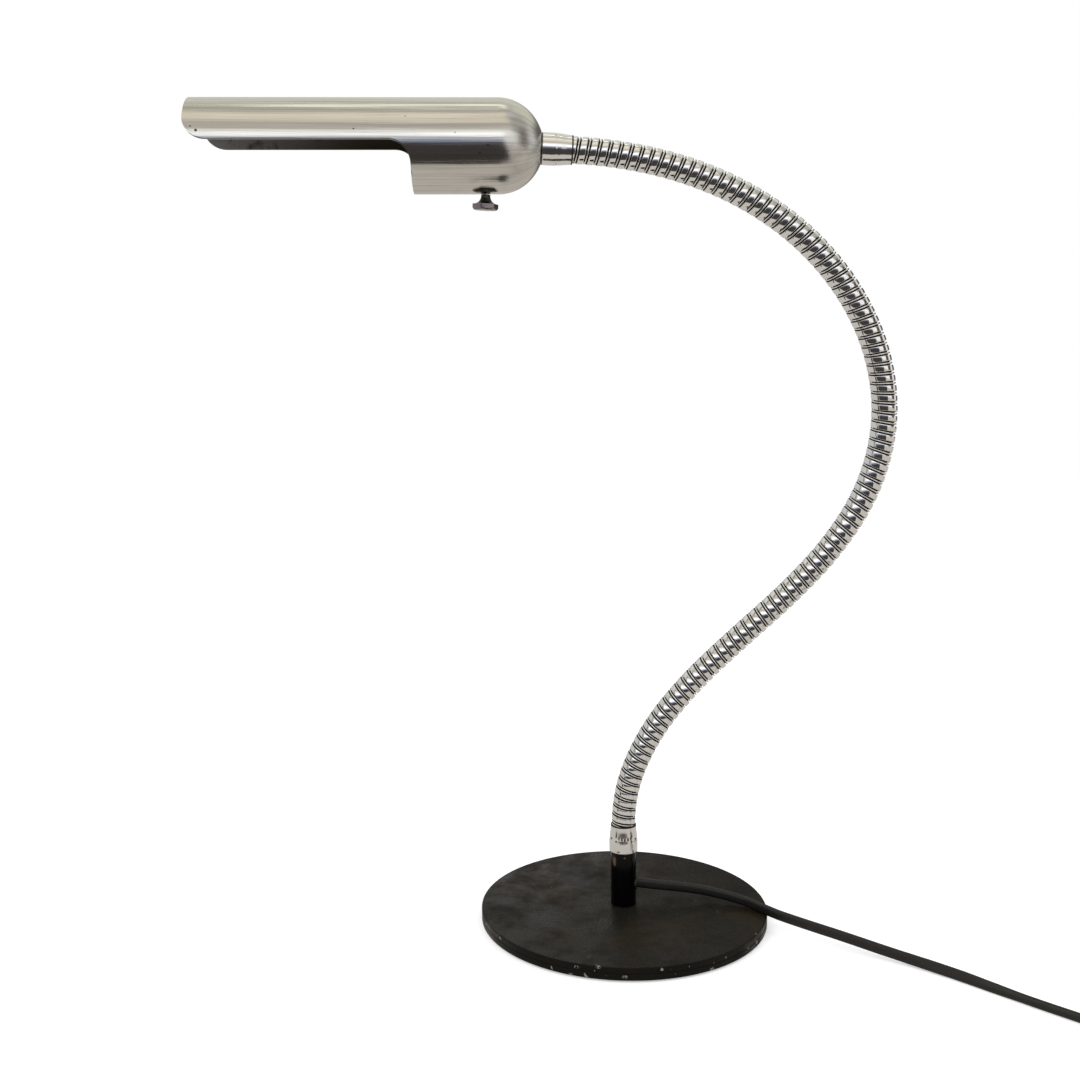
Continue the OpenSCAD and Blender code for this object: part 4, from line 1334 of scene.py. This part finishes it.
@dataclass
class Shade:
    """Tube with a round closed end, cut away below along its open half."""

    paint: Paintbox
    head: Matrix
    diameter: float = 52.0
    length: float = 195.0
    wall: float = 1.2
    seat_height: float = 18.2
    seat_diameter: float = 18.4
    closed: float = 72.0
    cut_height: float = 1.0
    cut_round: float = 12.5
    tilt: float = 2.7
    hole: float = 5.1
    open_columns: int = 96
    rest_columns: int = 52
    seat_rings: int = 4
    dome_rings: int = 40
    closed_rings: int = 32
    open_rows: int = 56
    corner_rows: int = 19
    joined: float = 0.01
    edge_ease: float = 0.25

    def __post_init__(self) -> None:
        """Works out the sizes that follow."""
        self.r = self.diameter / 2
        self.back = math.sqrt(self.r**2 - self.seat_diameter**2 / 4)
        self.cut_from = self.closed - self.back
        self.open_end = self.length - self.back
        self.centre = self.seat_height + self.back
        lift = Matrix.Translation((0, 0, self.centre))
        self.at = self.head @ lift @ Matrix.Rotation(math.radians(-self.tilt), 4, "Y")

    def edge(self, z: float) -> float:
        """Height of the cut's edge above the axis, at a length from the dome's centre."""
        inner, outer = self.cut_from + self.cut_round, self.open_end - self.cut_round
        if z < inner:
            drop = self.cut_round**2 - (inner - z) ** 2
            return self.cut_height - self.cut_round + math.sqrt(max(drop, 0))
        if z > outer:
            rise = self.cut_round**2 - (z - outer) ** 2
            return self.cut_height + self.cut_round - math.sqrt(max(rise, 0))
        return self.cut_height

    def side(self, z: float) -> float:
        """Angle from the top down to the cut's edge."""
        return math.acos(self.edge(z) / self.r)

    def dome_rows(self, angles: np.ndarray) -> tuple[list, list]:
        """Rings from the seat's hole over the dome to its widest place, with surface lengths."""
        rows, lengths = [], []
        seat_angle = math.asin(self.seat_diameter / 2 / self.r)
        lean = math.radians(self.tilt)
        for r in np.linspace(self.hole, self.seat_diameter / 2, self.seat_rings)[:-1]:
            ring = np.stack([r * np.cos(angles), r * np.sin(angles)], 1)
            rows.append(self.leaned(ring, -self.back, lean))
            lengths.append(-self.r * (math.pi / 2 - seat_angle) - self.seat_diameter / 2 + r)
        for polar in np.linspace(seat_angle, math.pi / 2, self.dome_rings):
            share = (polar - seat_angle) / (math.pi / 2 - seat_angle)
            r = self.r * math.sin(polar)
            ring = np.stack([r * np.cos(angles), r * np.sin(angles)], 1)
            rows.append(self.leaned(ring, -self.r * math.cos(polar), lean * (1 - share)))
            lengths.append(-self.r * (math.pi / 2 - polar))
        return rows, lengths

    def leaned(self, ring: np.ndarray, z: float, lean: float) -> np.ndarray:
        """A ring at height z, leaned about the side axis."""
        x, y = ring[:, 0], ring[:, 1]
        c, s = math.cos(lean), math.sin(lean)
        return np.stack([x * c + z * s, y, -x * s + z * c], 1)

    def build(self) -> None:
        """Makes the shade as one sheet, thickened inwards."""
        draft = Draft()
        widest = self.side(self.cut_from)
        opened = np.linspace(-widest, widest, self.open_columns + 1)
        rest = np.linspace(widest, TAU - widest, self.rest_columns + 1)[1:-1]
        angles = np.concatenate([opened, rest])
        rows, lengths = self.dome_rows(angles)
        for z in np.linspace(0, self.cut_from, self.closed_rings)[1:]:
            rows.append(self.tube(angles, z))
            lengths.append(z)
        round_arc = np.append(angles, opened[0] + TAU) * self.r
        surface = [np.stack([round_arc, np.full(len(round_arc), v)], 1) for v in lengths]
        draft.grid(placed(np.array(rows), self.at), closed=True, surface=np.array(surface))
        open_rows, open_surface = [], []
        for z in self.stations():
            half = self.side(z)
            across = np.linspace(-half, half, self.open_columns + 1)
            open_rows.append(self.tube(across, z))
            open_surface.append(np.stack([across * self.r, np.full(len(across), z)], 1))
        draft.grid(placed(np.array(open_rows), self.at), surface=np.array(open_surface))
        piece = draft.piece(
            "aluminium_shade", [self.paint.aluminium, self.paint.inside], 60, outward=False
        )
        join_points(piece.data, self.joined)
        thick = piece.modifiers.new("wall", "SOLIDIFY")
        thick.thickness = self.wall * MM
        thick.offset = -1
        thick.material_offset = 1
        thick.material_offset_rim = 0
        ease(piece, self.edge_ease, 60)
        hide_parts("shade", "shade_hood")
        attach(piece, Body.SHADE.value)
        LOG.info("shade: %.0f mm long, %.0f mm across", self.length, self.diameter)

    def tube(self, angles: np.ndarray, z: float) -> np.ndarray:
        """Points on the tube at the angles from its top, at a length from the dome's centre."""
        return ring_points(angles, self.r, z)

    def stations(self) -> list[float]:
        """Lengths of the open part's rows, close together at its rounded corners."""
        inner, outer = self.cut_from + self.cut_round, self.open_end - self.cut_round
        quarter = np.linspace(0, math.pi / 2, self.corner_rows)
        first = [inner - self.cut_round * math.cos(a) for a in quarter]
        middle = list(np.linspace(inner, outer, self.open_rows)[1:-1])
        last = [outer + self.cut_round * math.sin(a) for a in quarter]
        return first + middle + last


@dataclass
class Knob:
    """Six-sided switch knob on a hollowed neck; +Z points away from the shade."""

    paint: Paintbox
    at: Matrix
    across_flats: float = 13.2
    thickness: float = 3.4
    neck_length: float = 5.1
    neck_diameter: float = 5.3
    chamfer: float = 1.3
    rim_slope: float = 0.85
    rim: float = 0.5
    turn: float = -11.5
    cove_from: float = 0.5
    corner_wear: float = 0.12
    corner_sharpness: int = 34
    sides: int = 144
    spacing: float = 0.4

    def outline(self) -> list[tuple[float, float]]:
        """Radius and height of the knob before its six sides are cut."""
        neck, corner = self.neck_diameter / 2, self.across_flats / 2 / math.cos(math.pi / 6)
        rim = corner - self.chamfer
        cove = min(corner - self.rim - neck, self.neck_length - self.cove_from)
        out = [(neck, 0.0), (neck, self.neck_length - cove)]
        for k in range(1, 15):
            a = k / 14 * math.pi / 2
            out.append(
                (neck + cove * (1 - math.cos(a)), self.neck_length - cove * (1 - math.sin(a)))
            )
        past = self.chamfer + 0.3
        slope, top = past * self.rim_slope, self.neck_length + self.thickness
        bottom = self.neck_length
        head = [
            (rim, bottom, 0), (rim + past, bottom, 0.15), (rim + past, top - slope, 0.3),
            (rim, top, 0.25), (0.0, top, 0),
        ]
        return out + finely(rounded(head, 4), self.spacing)[1:]

    def six_sided(self, angle: np.ndarray, r: float, z: float) -> np.ndarray:
        """Radii at one height, cut to the hexagon with slightly soft corners."""
        part = (np.degrees(angle) - self.turn) % 60 - 30
        flat = self.across_flats / 2 / np.cos(np.radians(part))
        corner = self.across_flats / 2 / math.cos(math.pi / 6)
        flat = np.minimum(flat, corner - self.corner_wear)
        sharp = self.corner_sharpness
        return (max(r, 0.01) ** -sharp + flat**-sharp) ** (-1 / sharp)

    def build(self) -> None:
        """Makes the knob."""
        outline = self.outline()
        draft = Draft()
        first = draft.turn(outline, self.sides, self.at, self.six_sided)
        # the neck and cove take the painted dark reflection
        draft.second_finish(self.sides, [z <= self.neck_length for _, z in outline[1:]])
        draft.cap(first, self.sides, backwards=True)
        piece = draft.piece("hexagon_knob", [self.paint.nickel, self.paint.knob_neck], 28)
        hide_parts("switch_knob")
        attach(piece, Body.KNOB.value)
        LOG.info("knob: %.1f mm across its flats", self.across_flats)


@dataclass
class Socket:
    """The lampholder's threaded shell, rolled from thin sheet."""

    paint: Paintbox
    at: Matrix
    inner: float = 13.35
    sheet: float = 0.45
    collar: float = 4.5
    length: float = 23.0
    flange: float = 14.8
    pitch: float = 3.63
    depth: float = 0.4
    thread_fade: float = 1.5
    mouth_fade: float = 1.2
    collar_in: float = 0.6
    rows: int = 93
    sides: int = 96

    def build(self) -> None:
        """Makes the shell with its rolled thread."""
        angle = np.arange(self.sides) * TAU / self.sides
        outer, inner = [], []
        for z in np.linspace(0, self.length, self.rows):
            share = min(max((z - self.collar) / self.thread_fade, 0), 1)
            share *= min((self.length - z) / self.mouth_fade, 1)
            wave = (np.cos(angle - TAU * z / self.pitch) - 1) / 2 * self.depth * share
            past_collar = min(max((z - self.collar + 1) / self.thread_fade, 0), 1)
            narrow = self.collar_in * (1 - past_collar)
            for rows, r in ((outer, self.inner + self.sheet), (inner, self.inner)):
                rows.append(ring_points(angle, r + wave - narrow, z))
        foot = [lathe([(self.flange, z)], self.sides)[0] for z in (self.sheet, 0.0)]
        rows = placed(np.array(outer[::-1] + foot + inner + [outer[-1]]), self.at)
        draft = Draft()
        draft.grid(rows, closed=True)
        piece = draft.piece("lamp_thread", [self.paint.brass], 60)
        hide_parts("screw_shell")
        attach(piece, Body.SHADE.value)
        LOG.info("lamp thread: %.2f mm pitch", self.pitch)


# --- mains cord --------------------------------------------------------------------------


@dataclass
class MainsCord:
    """Flat two-core cord: out of the post, over the base, into a tied coil and to its plug."""

    paint: Paintbox
    width: float = 6.2
    thickness: float = 3.8
    corner: float = 1.75
    exit: Point = (8.0, 0.0, 22.0)
    coil_centre: tuple = (302.0, -121.0)
    coil_radius: float = 36.0
    turn_gap: float = 0.3
    layers: int = 3
    coil_from: float = 230.0
    change: float = 45.0
    turn_points: int = 60
    spacing: float = 2.5
    declared_length: float = 1.8
    route: tuple = ROUTE_TO_COIL
    plug_route: tuple = ROUTE_TO_PLUG
    turned_over: tuple = (161.0, 215.0)

    def slots(self) -> list[tuple[float, float]]:
        """Radius and height of each turn of the coil, in the order they are laid."""
        half = (self.width + self.turn_gap) / 2
        out = []
        for layer in range(self.layers):
            pair = [self.coil_radius + half, self.coil_radius - half]
            height = self.thickness / 2 + layer * (self.thickness + self.turn_gap)
            out += [(r, height) for r in (pair if layer % 2 == 0 else pair[::-1])]
        top = self.thickness / 2 + self.layers * (self.thickness + self.turn_gap)
        return out + [(self.coil_radius + half, top)]

    def coil(self) -> list[Point]:
        """Points of the coil's turns, up to where the cord lies on top of it."""
        slots = self.slots()
        turns = len(slots) - 1
        out = []
        step = 360 / self.turn_points
        for k in range(turns * self.turn_points):
            turn, part = divmod(k, self.turn_points)
            past = (part * step - (360 - self.change)) / self.change
            share = 0.0 if past < 0 else past * past * (3 - 2 * past)
            (r0, z0), (r1, z1) = slots[turn], slots[turn + 1]
            r, z = r0 + (r1 - r0) * share, z0 + (z1 - z0) * share
            angle = math.radians(self.coil_from + k * step)
            x = self.coil_centre[0] + r * math.cos(angle)
            out.append((x, self.coil_centre[1] + r * math.sin(angle), z))
        return out

    def line(self) -> np.ndarray:
        """The cord's whole middle line."""
        return smooth_route([*self.route, *self.coil(), *self.plug_route], self.spacing)

    def levels(self, line: np.ndarray) -> np.ndarray:
        """Direction of the cord's thickness at each point of its line.

        It leaves the post on its edge and turns flat before the coil.
        """
        ahead = unit(np.gradient(line, axis=0))
        flat = unit(np.cross((0.0, 0.0, 1.0), ahead))
        over = np.cross(ahead, flat)
        turn = np.radians(np.interp(line[:, 0], self.turned_over, (90.0, 0.0)))[:, None]
        return over * np.cos(turn) - flat * np.sin(turn)

    def build(self, with_pieces: Sequence[object]) -> None:
        """Args:
            with_pieces: The plug, its pins and the coil's tie; not used.
        """
        line = self.line()
        section = oval(self.width, self.thickness, self.corner, 4)
        rows = section_rows(line, self.levels(line), section)
        draft = Draft()
        first = draft.grid(rows, closed=True)
        draft.cap(first, len(section))
        draft.cap(first + len(section) * (len(line) - 1), len(section), backwards=True)
        piece = draft.piece("flat_cord", [self.paint.sheath], 60)
        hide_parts("mains_cord", "cord_coil", "plug_lead")
        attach(piece, Body.BASE.value)
        length = float(np.linalg.norm(np.diff(line, axis=0), axis=1).sum())
        [v * MM for v in self.exit]
        LOG.info("cord: %.0f mm along its middle", length)


@dataclass
class Plug:
    """Moulded flat plug, lying on its side faces with the pins towards +Y."""

    paint: Paintbox
    at: Point = (342.5, -64.0, 7.0)
    stations: tuple = (
        (0.0, 7.4, 5.2, 2.5), (0.6, 8.4, 6.2, 3.0), (4.0, 9.2, 7.4, 3.4), (8.0, 11.0, 9.4, 4.4),
        (11.5, 14.5, 12.2, 5.6), (14.0, 20.0, 13.3, 5.4), (16.5, 25.4, 13.5, 4.2),
        (18.5, 26.9, 13.6, 3.4), (28.0, 27.0, 13.6, 3.2), (34.6, 27.0, 13.6, 3.2),
        (35.6, 26.5, 13.1, 3.0), (36.0, 25.4, 12.0, 2.6),
    )

    def build(self) -> bpy.types.Object:
        """Makes the plug's body and returns it."""
        rows = []
        for along, width, height, corner in self.stations:
            ring = [(self.at[0] + x, self.at[1] + along, self.at[2] + z)
                    for x, z in oval(width, height, corner, 6)]
            rows.append(ring)
        draft = Draft()
        count = len(rows[0])
        first = draft.grid(np.array(rows), closed=True)
        draft.cap(first, count)
        draft.cap(first + count * (len(rows) - 1), count, backwards=True)
        piece = draft.piece("moulded_plug", [self.paint.plug], 60)
        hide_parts("plug_body")
        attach(piece, Body.BASE.value)
        return piece


# --- camera, light and floor ---------------------------------------------------------------


@dataclass(frozen=True)
class Card:
    """A soft-edged patch of the surroundings, seen only in reflections, with angles in degrees.

    Azimuth 0 is in front of the lamp, towards the camera, and grows to the right.
    """

    azimuth: tuple[float, float]
    height: tuple[float, float]
    light: Colour
    soft: float = 1.5


def surroundings() -> list[Card]:
    """The room that the chrome and the aluminium mirror, later cards over earlier ones."""
    front = (-70, 45)
    stripes = (
        ((80, 87), (0.95, 0.92, 0.82)), ((71, 80), (0.52, 0.50, 0.43)),
        ((57, 71), (1.05, 0.95, 0.80)), ((43, 57), (0.85, 0.78, 0.66)),
        ((30, 43), (0.60, 0.55, 0.49)), ((22, 30), (1.00, 0.98, 0.92)),
        ((9, 22), (1.50, 1.50, 1.50)), ((2, 9), (0.62, 0.68, 0.82)),
        ((-6, 2), (0.15, 0.165, 0.24)),
    )
    return [
        Card((-180, 180), (0, 56), (0.46, 0.45, 0.42), 3),
        Card((-180, -74), (-40, 50), (0.62, 0.62, 0.62), 3),
        Card((-180, 180), (70, 90), (0.55, 0.53, 0.45), 2),
        Card((100, 260), (75, 84), (1.5, 1.45, 1.25), 2),
        Card((100, 260), (30, 66), (0.78, 0.77, 0.66), 4),
        *[Card(front, height, light, 2) for height, light in stripes],
        Card((-74, -55), (-40, 22), (0.50, 0.50, 0.50), 1),
        Card((-76.5, -71.5), (-40, 40), (0.02, 0.02, 0.02), 1),
        Card((-55, 23), (-43, -6), (0.062, 0.052, 0.050), 2),
        Card((-14, -3), (-43, -10), (0.75, 0.74, 0.72), 2),
        Card((23, 60), (-30, 20), (1.0, 1.0, 1.0), 4),
        Card((60, 88), (-30, 30), (0.12, 0.08, 0.07), 4),
        Card((88, 114), (-30, 30), (0.85, 0.85, 0.84), 4),
        Card((114, 180), (-30, 30), (0.10, 0.10, 0.095), 5),
    ]


@dataclass(frozen=True)
class FloorPatch:
    """A dark sheet on the floor that only metal mirrors, with its corners in metres."""

    name: str
    corners: tuple
    light: Colour


FLOOR_PATCHES = (
    FloorPatch(
        "dark_patch",
        ((-5, -4), (1.8, -4), (0.33, -0.41), (-0.48, -0.39)),
        (0.055, 0.0484, 0.0462),
    ),
    FloorPatch(
        "dark_strip",
        ((-2.80, -1.08), (-2.45, -1.72), (-0.245, -0.172), (-0.280, -0.108)),
        (0.016, 0.01408, 0.01344),
    ),
)


@dataclass
class Studio:
    """Camera, white surroundings, soft lights and a pale floor."""

    position: Point = (0.0, -0.713144, 0.311283)
    yaw: float = -0.0726105
    pitch: float = math.radians(-5.649)
    roll: float = -0.0059067
    lens: float = 38.582
    low_light: Colour = (0.30, 0.30, 0.30)
    top_light: Colour = (1.02, 1.02, 1.02)
    floor_size: float = 8.0
    floor_glow: float = 0.42
    floor_paint: Colour = (0.80, 0.80, 0.80)
    floor_bounce: Colour = (0.45, 0.45, 0.45)
    floor_mirrored: Colour = (0.62, 0.58, 0.53)
    patch_lift: float = 0.0005

    def camera(self) -> None:
        """Makes the camera."""
        data = bpy.data.cameras.new("camera")
        data.lens = self.lens
        data.sensor_width = 36.0
        data.clip_start = 0.01
        view = add_object("camera", data)
        view.matrix_world = (
            Matrix.Translation(self.position)
            @ Matrix.Rotation(-self.yaw, 4, "Z")
            @ Matrix.Rotation(math.pi / 2 + self.pitch, 4, "X")
            @ Matrix.Rotation(self.roll, 4, "Z")
        )
        bpy.context.scene.camera = view

    def world(self) -> None:
        """White for the camera, cards for reflections, and a sky brighter above for the rest."""
        world = bpy.data.worlds.new("surroundings")
        bpy.context.scene.world = world
        world.use_nodes = True
        n = Nodes(world.node_tree)
        split = n.new("SeparateXYZ")
        n.link(n.new("TexCoord").outputs["Generated"], split.inputs[0])
        x, y, z = split.outputs
        azimuth = n.math("DEGREES", n.math("ARCTAN2", x, n.times(y, -1.0)))
        height = n.math("DEGREES", n.math("ARCSINE", z))
        room: object = (0.62, 0.62, 0.60)
        for card in surroundings():
            across = self.inside(n, azimuth, *card.azimuth, card.soft)
            up = self.inside(n, height, *card.height, card.soft)
            room = n.mix(n.times(across, up), room, card.light)
        rays = n.new("LightPath")
        sky = n.mix(n.math("MAXIMUM", z, 0.0), self.low_light, self.top_light)
        seen = n.mix(rays.outputs["Is Glossy Ray"], sky, room)
        background = n.new("Background")
        n.link(n.mix(rays.outputs["Is Camera Ray"], seen, (1.0, 1.0, 1.0)), background.inputs[0])
        n.link(background.outputs[0], n.new("OutputWorld").inputs["Surface"])

    def inside(
        self, n: Nodes, angle: bpy.types.NodeSocket, low: float, high: float, soft: float
    ) -> object:
        """1 where an angle in degrees lies between two others, falling softly to 0 outside."""
        if high - low >= 359:
            return 1.0
        away = n.math("ABSOLUTE", n.math("SUBTRACT", angle, (low + high) / 2))
        away = n.math("SUBTRACT", 180.0, n.math("ABSOLUTE", n.math("SUBTRACT", 180.0, away)))
        return n.ramp(away, (high - low) / 2 + soft, (high - low) / 2 - soft)

    def lights(self) -> None:
        """Two soft lamps, unseen in reflections."""
        for name, at, size, power in (
            ("key", (-1.1, -1.3, 2.1), 1.6, 16.0),
            ("fill", (1.6, -0.9, 1.5), 1.4, 7.0),
        ):
            data = bpy.data.lights.new(name, "AREA")
            data.size = size
            data.energy = power
            lamp = add_object(name, data)
            lamp.location = at
            aim = Vector((0.0, 0.0, 0.2)) - Vector(at)
            lamp.rotation_euler = aim.to_track_quat("-Z", "Y").to_euler()
            lamp.visible_glossy = False

    def floor(self) -> None:
        """A pale floor that keeps the lamp's shadow, and the patches on it."""
        half = self.floor_size / 2
        corners = [(-half, -half, 0), (half, -half, 0), (half, half, 0), (-half, half, 0)]
        sheets = [stage_sheet("floor", corners, self.floor_material())]
        for patch in FLOOR_PATCHES:
            lifted = [(x, y, self.patch_lift) for x, y in patch.corners]
            dark = stage_sheet(patch.name, lifted, glow_material(patch.name, patch.light))
            dark.visible_camera = False
            dark.visible_diffuse = False
            dark.visible_shadow = False
            sheets.append(dark)

    def floor_material(self) -> bpy.types.Material:
        """Pale paint that looks white to the camera where no shadow falls."""
        b = Bench("floor_paint")
        rays = b.new("LightPath").outputs
        b.plain(
            Base_Color=b.mix(rays["Is Camera Ray"], self.floor_bounce, self.floor_paint),
            Roughness=0.9,
            Specular_IOR_Level=0.0,
            Emission_Color=(1.0, 1.0, 1.0),
            Emission_Strength=b.times(rays["Is Camera Ray"], self.floor_glow),
        )
        pick = b.new("MixShader")
        b.link(rays["Is Glossy Ray"], pick.inputs[0])
        b.link(b.shader.outputs[0], pick.inputs[1])
        b.link(b.glow(self.floor_mirrored), pick.inputs[2])
        b.link(pick.outputs[0], b.out.inputs["Surface"])
        return b.material

    def build(self) -> None:
        """Makes the surroundings."""
        bpy.context.scene.view_settings.view_transform = "Standard"
        self.world()
        self.lights()
        self.floor()
        LOG.info("studio: %d cards", len(surroundings()))


def glow_material(name: str, light: Colour) -> bpy.types.Material:
    """A surface of one even light."""
    b = Bench(name)
    b.link(b.glow(light), b.out.inputs["Surface"])
    return b.material


def stage_sheet(
    name: str, corners: Sequence[Point], material: bpy.types.Material
) -> bpy.types.Object:
    """A flat sheet through four points in metres."""
    mesh = bpy.data.meshes.new(name)
    mesh.from_pydata([tuple(c) for c in corners], [], [(0, 1, 2, 3)])
    mesh.materials.append(material)
    return add_object(name, mesh)


# --- the whole lamp ------------------------------------------------------------------------


class Lamp:
    """The lamp's pieces, put together."""

    def __init__(self) -> None:
        """Makes the finishes and works out the neck's course."""
        self.paint = Paintbox()
        self.neck = Neck(NeckCourse())
        self.base = Base(self.paint)
        end = self.neck.starts[-1]
        self.head = end @ Matrix.Rotation(math.radians(HEAD_ROLL), 4, "Z")
        flip = Matrix.Translation((0, 0, Ferrule.length)) @ Matrix.Rotation(math.pi, 4, "Y")
        self.upper_at = end @ flip
        spindle = Matrix.Translation((0, 0, SPINDLE_HEIGHT)) @ Matrix.Rotation(-math.pi / 2, 4, "Y")
        self.knob_at = self.head @ spindle @ Matrix.Translation((0, 0, KNOB_FROM))
        self.socket_at = self.head @ Matrix.Translation((0, 0, SOCKET_FROM))

    def cord_first(self) -> None:
        """Makes the plug and the cord."""
        plug = Plug(self.paint).build()
        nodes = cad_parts
        MainsCord(self.paint).build([plug, nodes["plug_pins"], nodes["coil_tie"]])

    def build(self) -> None:
        """Makes all other pieces."""
        self.base.build()
        lower = Matrix.Translation((0, 0, self.base.top + self.base.post_height))
        Ferrule(self.paint, "crimped_ferrule_low", "lower_ferrule", Body.BASE, lower).build()
        Ferrule(self.paint, "crimped_ferrule_high", "upper_ferrule", Body.HEAD, self.upper_at).build()
        Windings(self.neck, self.paint).build()
        Lead(self.neck, self.paint).build()
        Shade(self.paint, self.head).build()
        Knob(self.paint, self.knob_at).build()
        Socket(self.paint, self.socket_at).build()
        self.finish_nodes()

    def finish_nodes(self) -> None:
        """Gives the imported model's own pieces their finishes and eased edges."""
        p = self.paint
        finishes = {
            "base_felt_pad": (p.felt, 0.2), "base_screws": (p.zinc, 0.1),
            "post_bush": (p.brass, 0.2), "post_nipple": (p.zinc, 0.15),
            "post_washer": (p.zinc, 0.15), "post_nut": (p.zinc, 0.2),
            "cord_grommet": (p.rubber, 0.12), "cord_anchor": (p.plug, 0.2),
            "lower_coupling": (p.zinc, 0.2), "upper_coupling": (p.zinc, 0.2),
            "head_nipple": (p.zinc, 0.15), "nipple_lock_nut": (p.zinc, 0.2),
            "shade_washer": (p.collar, 0.2), "inner_washer": (p.zinc, 0.15),
            "inner_nut": (p.zinc, 0.2), "holder_cap": (p.bakelite, 0.4),
            "holder_sleeve": (p.bakelite, 0.4), "contact_disc": (p.ceramic, 0.3),
            "centre_contact": (p.brass, 0.1), "side_contact": (p.brass, 0.1),
            "terminal_screws": (p.brass, 0.15), "switch_block": (p.bakelite, 0.3),
            "switch_bush": (p.brass, 0.2), "switch_spindle": (p.zinc, 0.2),
            "coil_tie": (p.rubber, 0.3), "plug_pins": (p.brass, 0.2),
        }
        for name, (finish, width) in finishes.items():
            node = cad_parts[name]
            node.data.materials.clear()
            node.data.materials.append(finish)
            ease(node, width)
        LOG.info("%d packed pieces finished", len(finishes))


def main() -> None:
    """Builds the lamp, its cord, camera and studio, and notes its size."""
    logging.basicConfig(level=logging.INFO, format="%(message)s")
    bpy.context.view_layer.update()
    studio = Studio()
    studio.camera()
    lamp = Lamp()
    lamp.cord_first()
    lamp.build()
    studio.build()


if __name__ == "__main__":
    main()
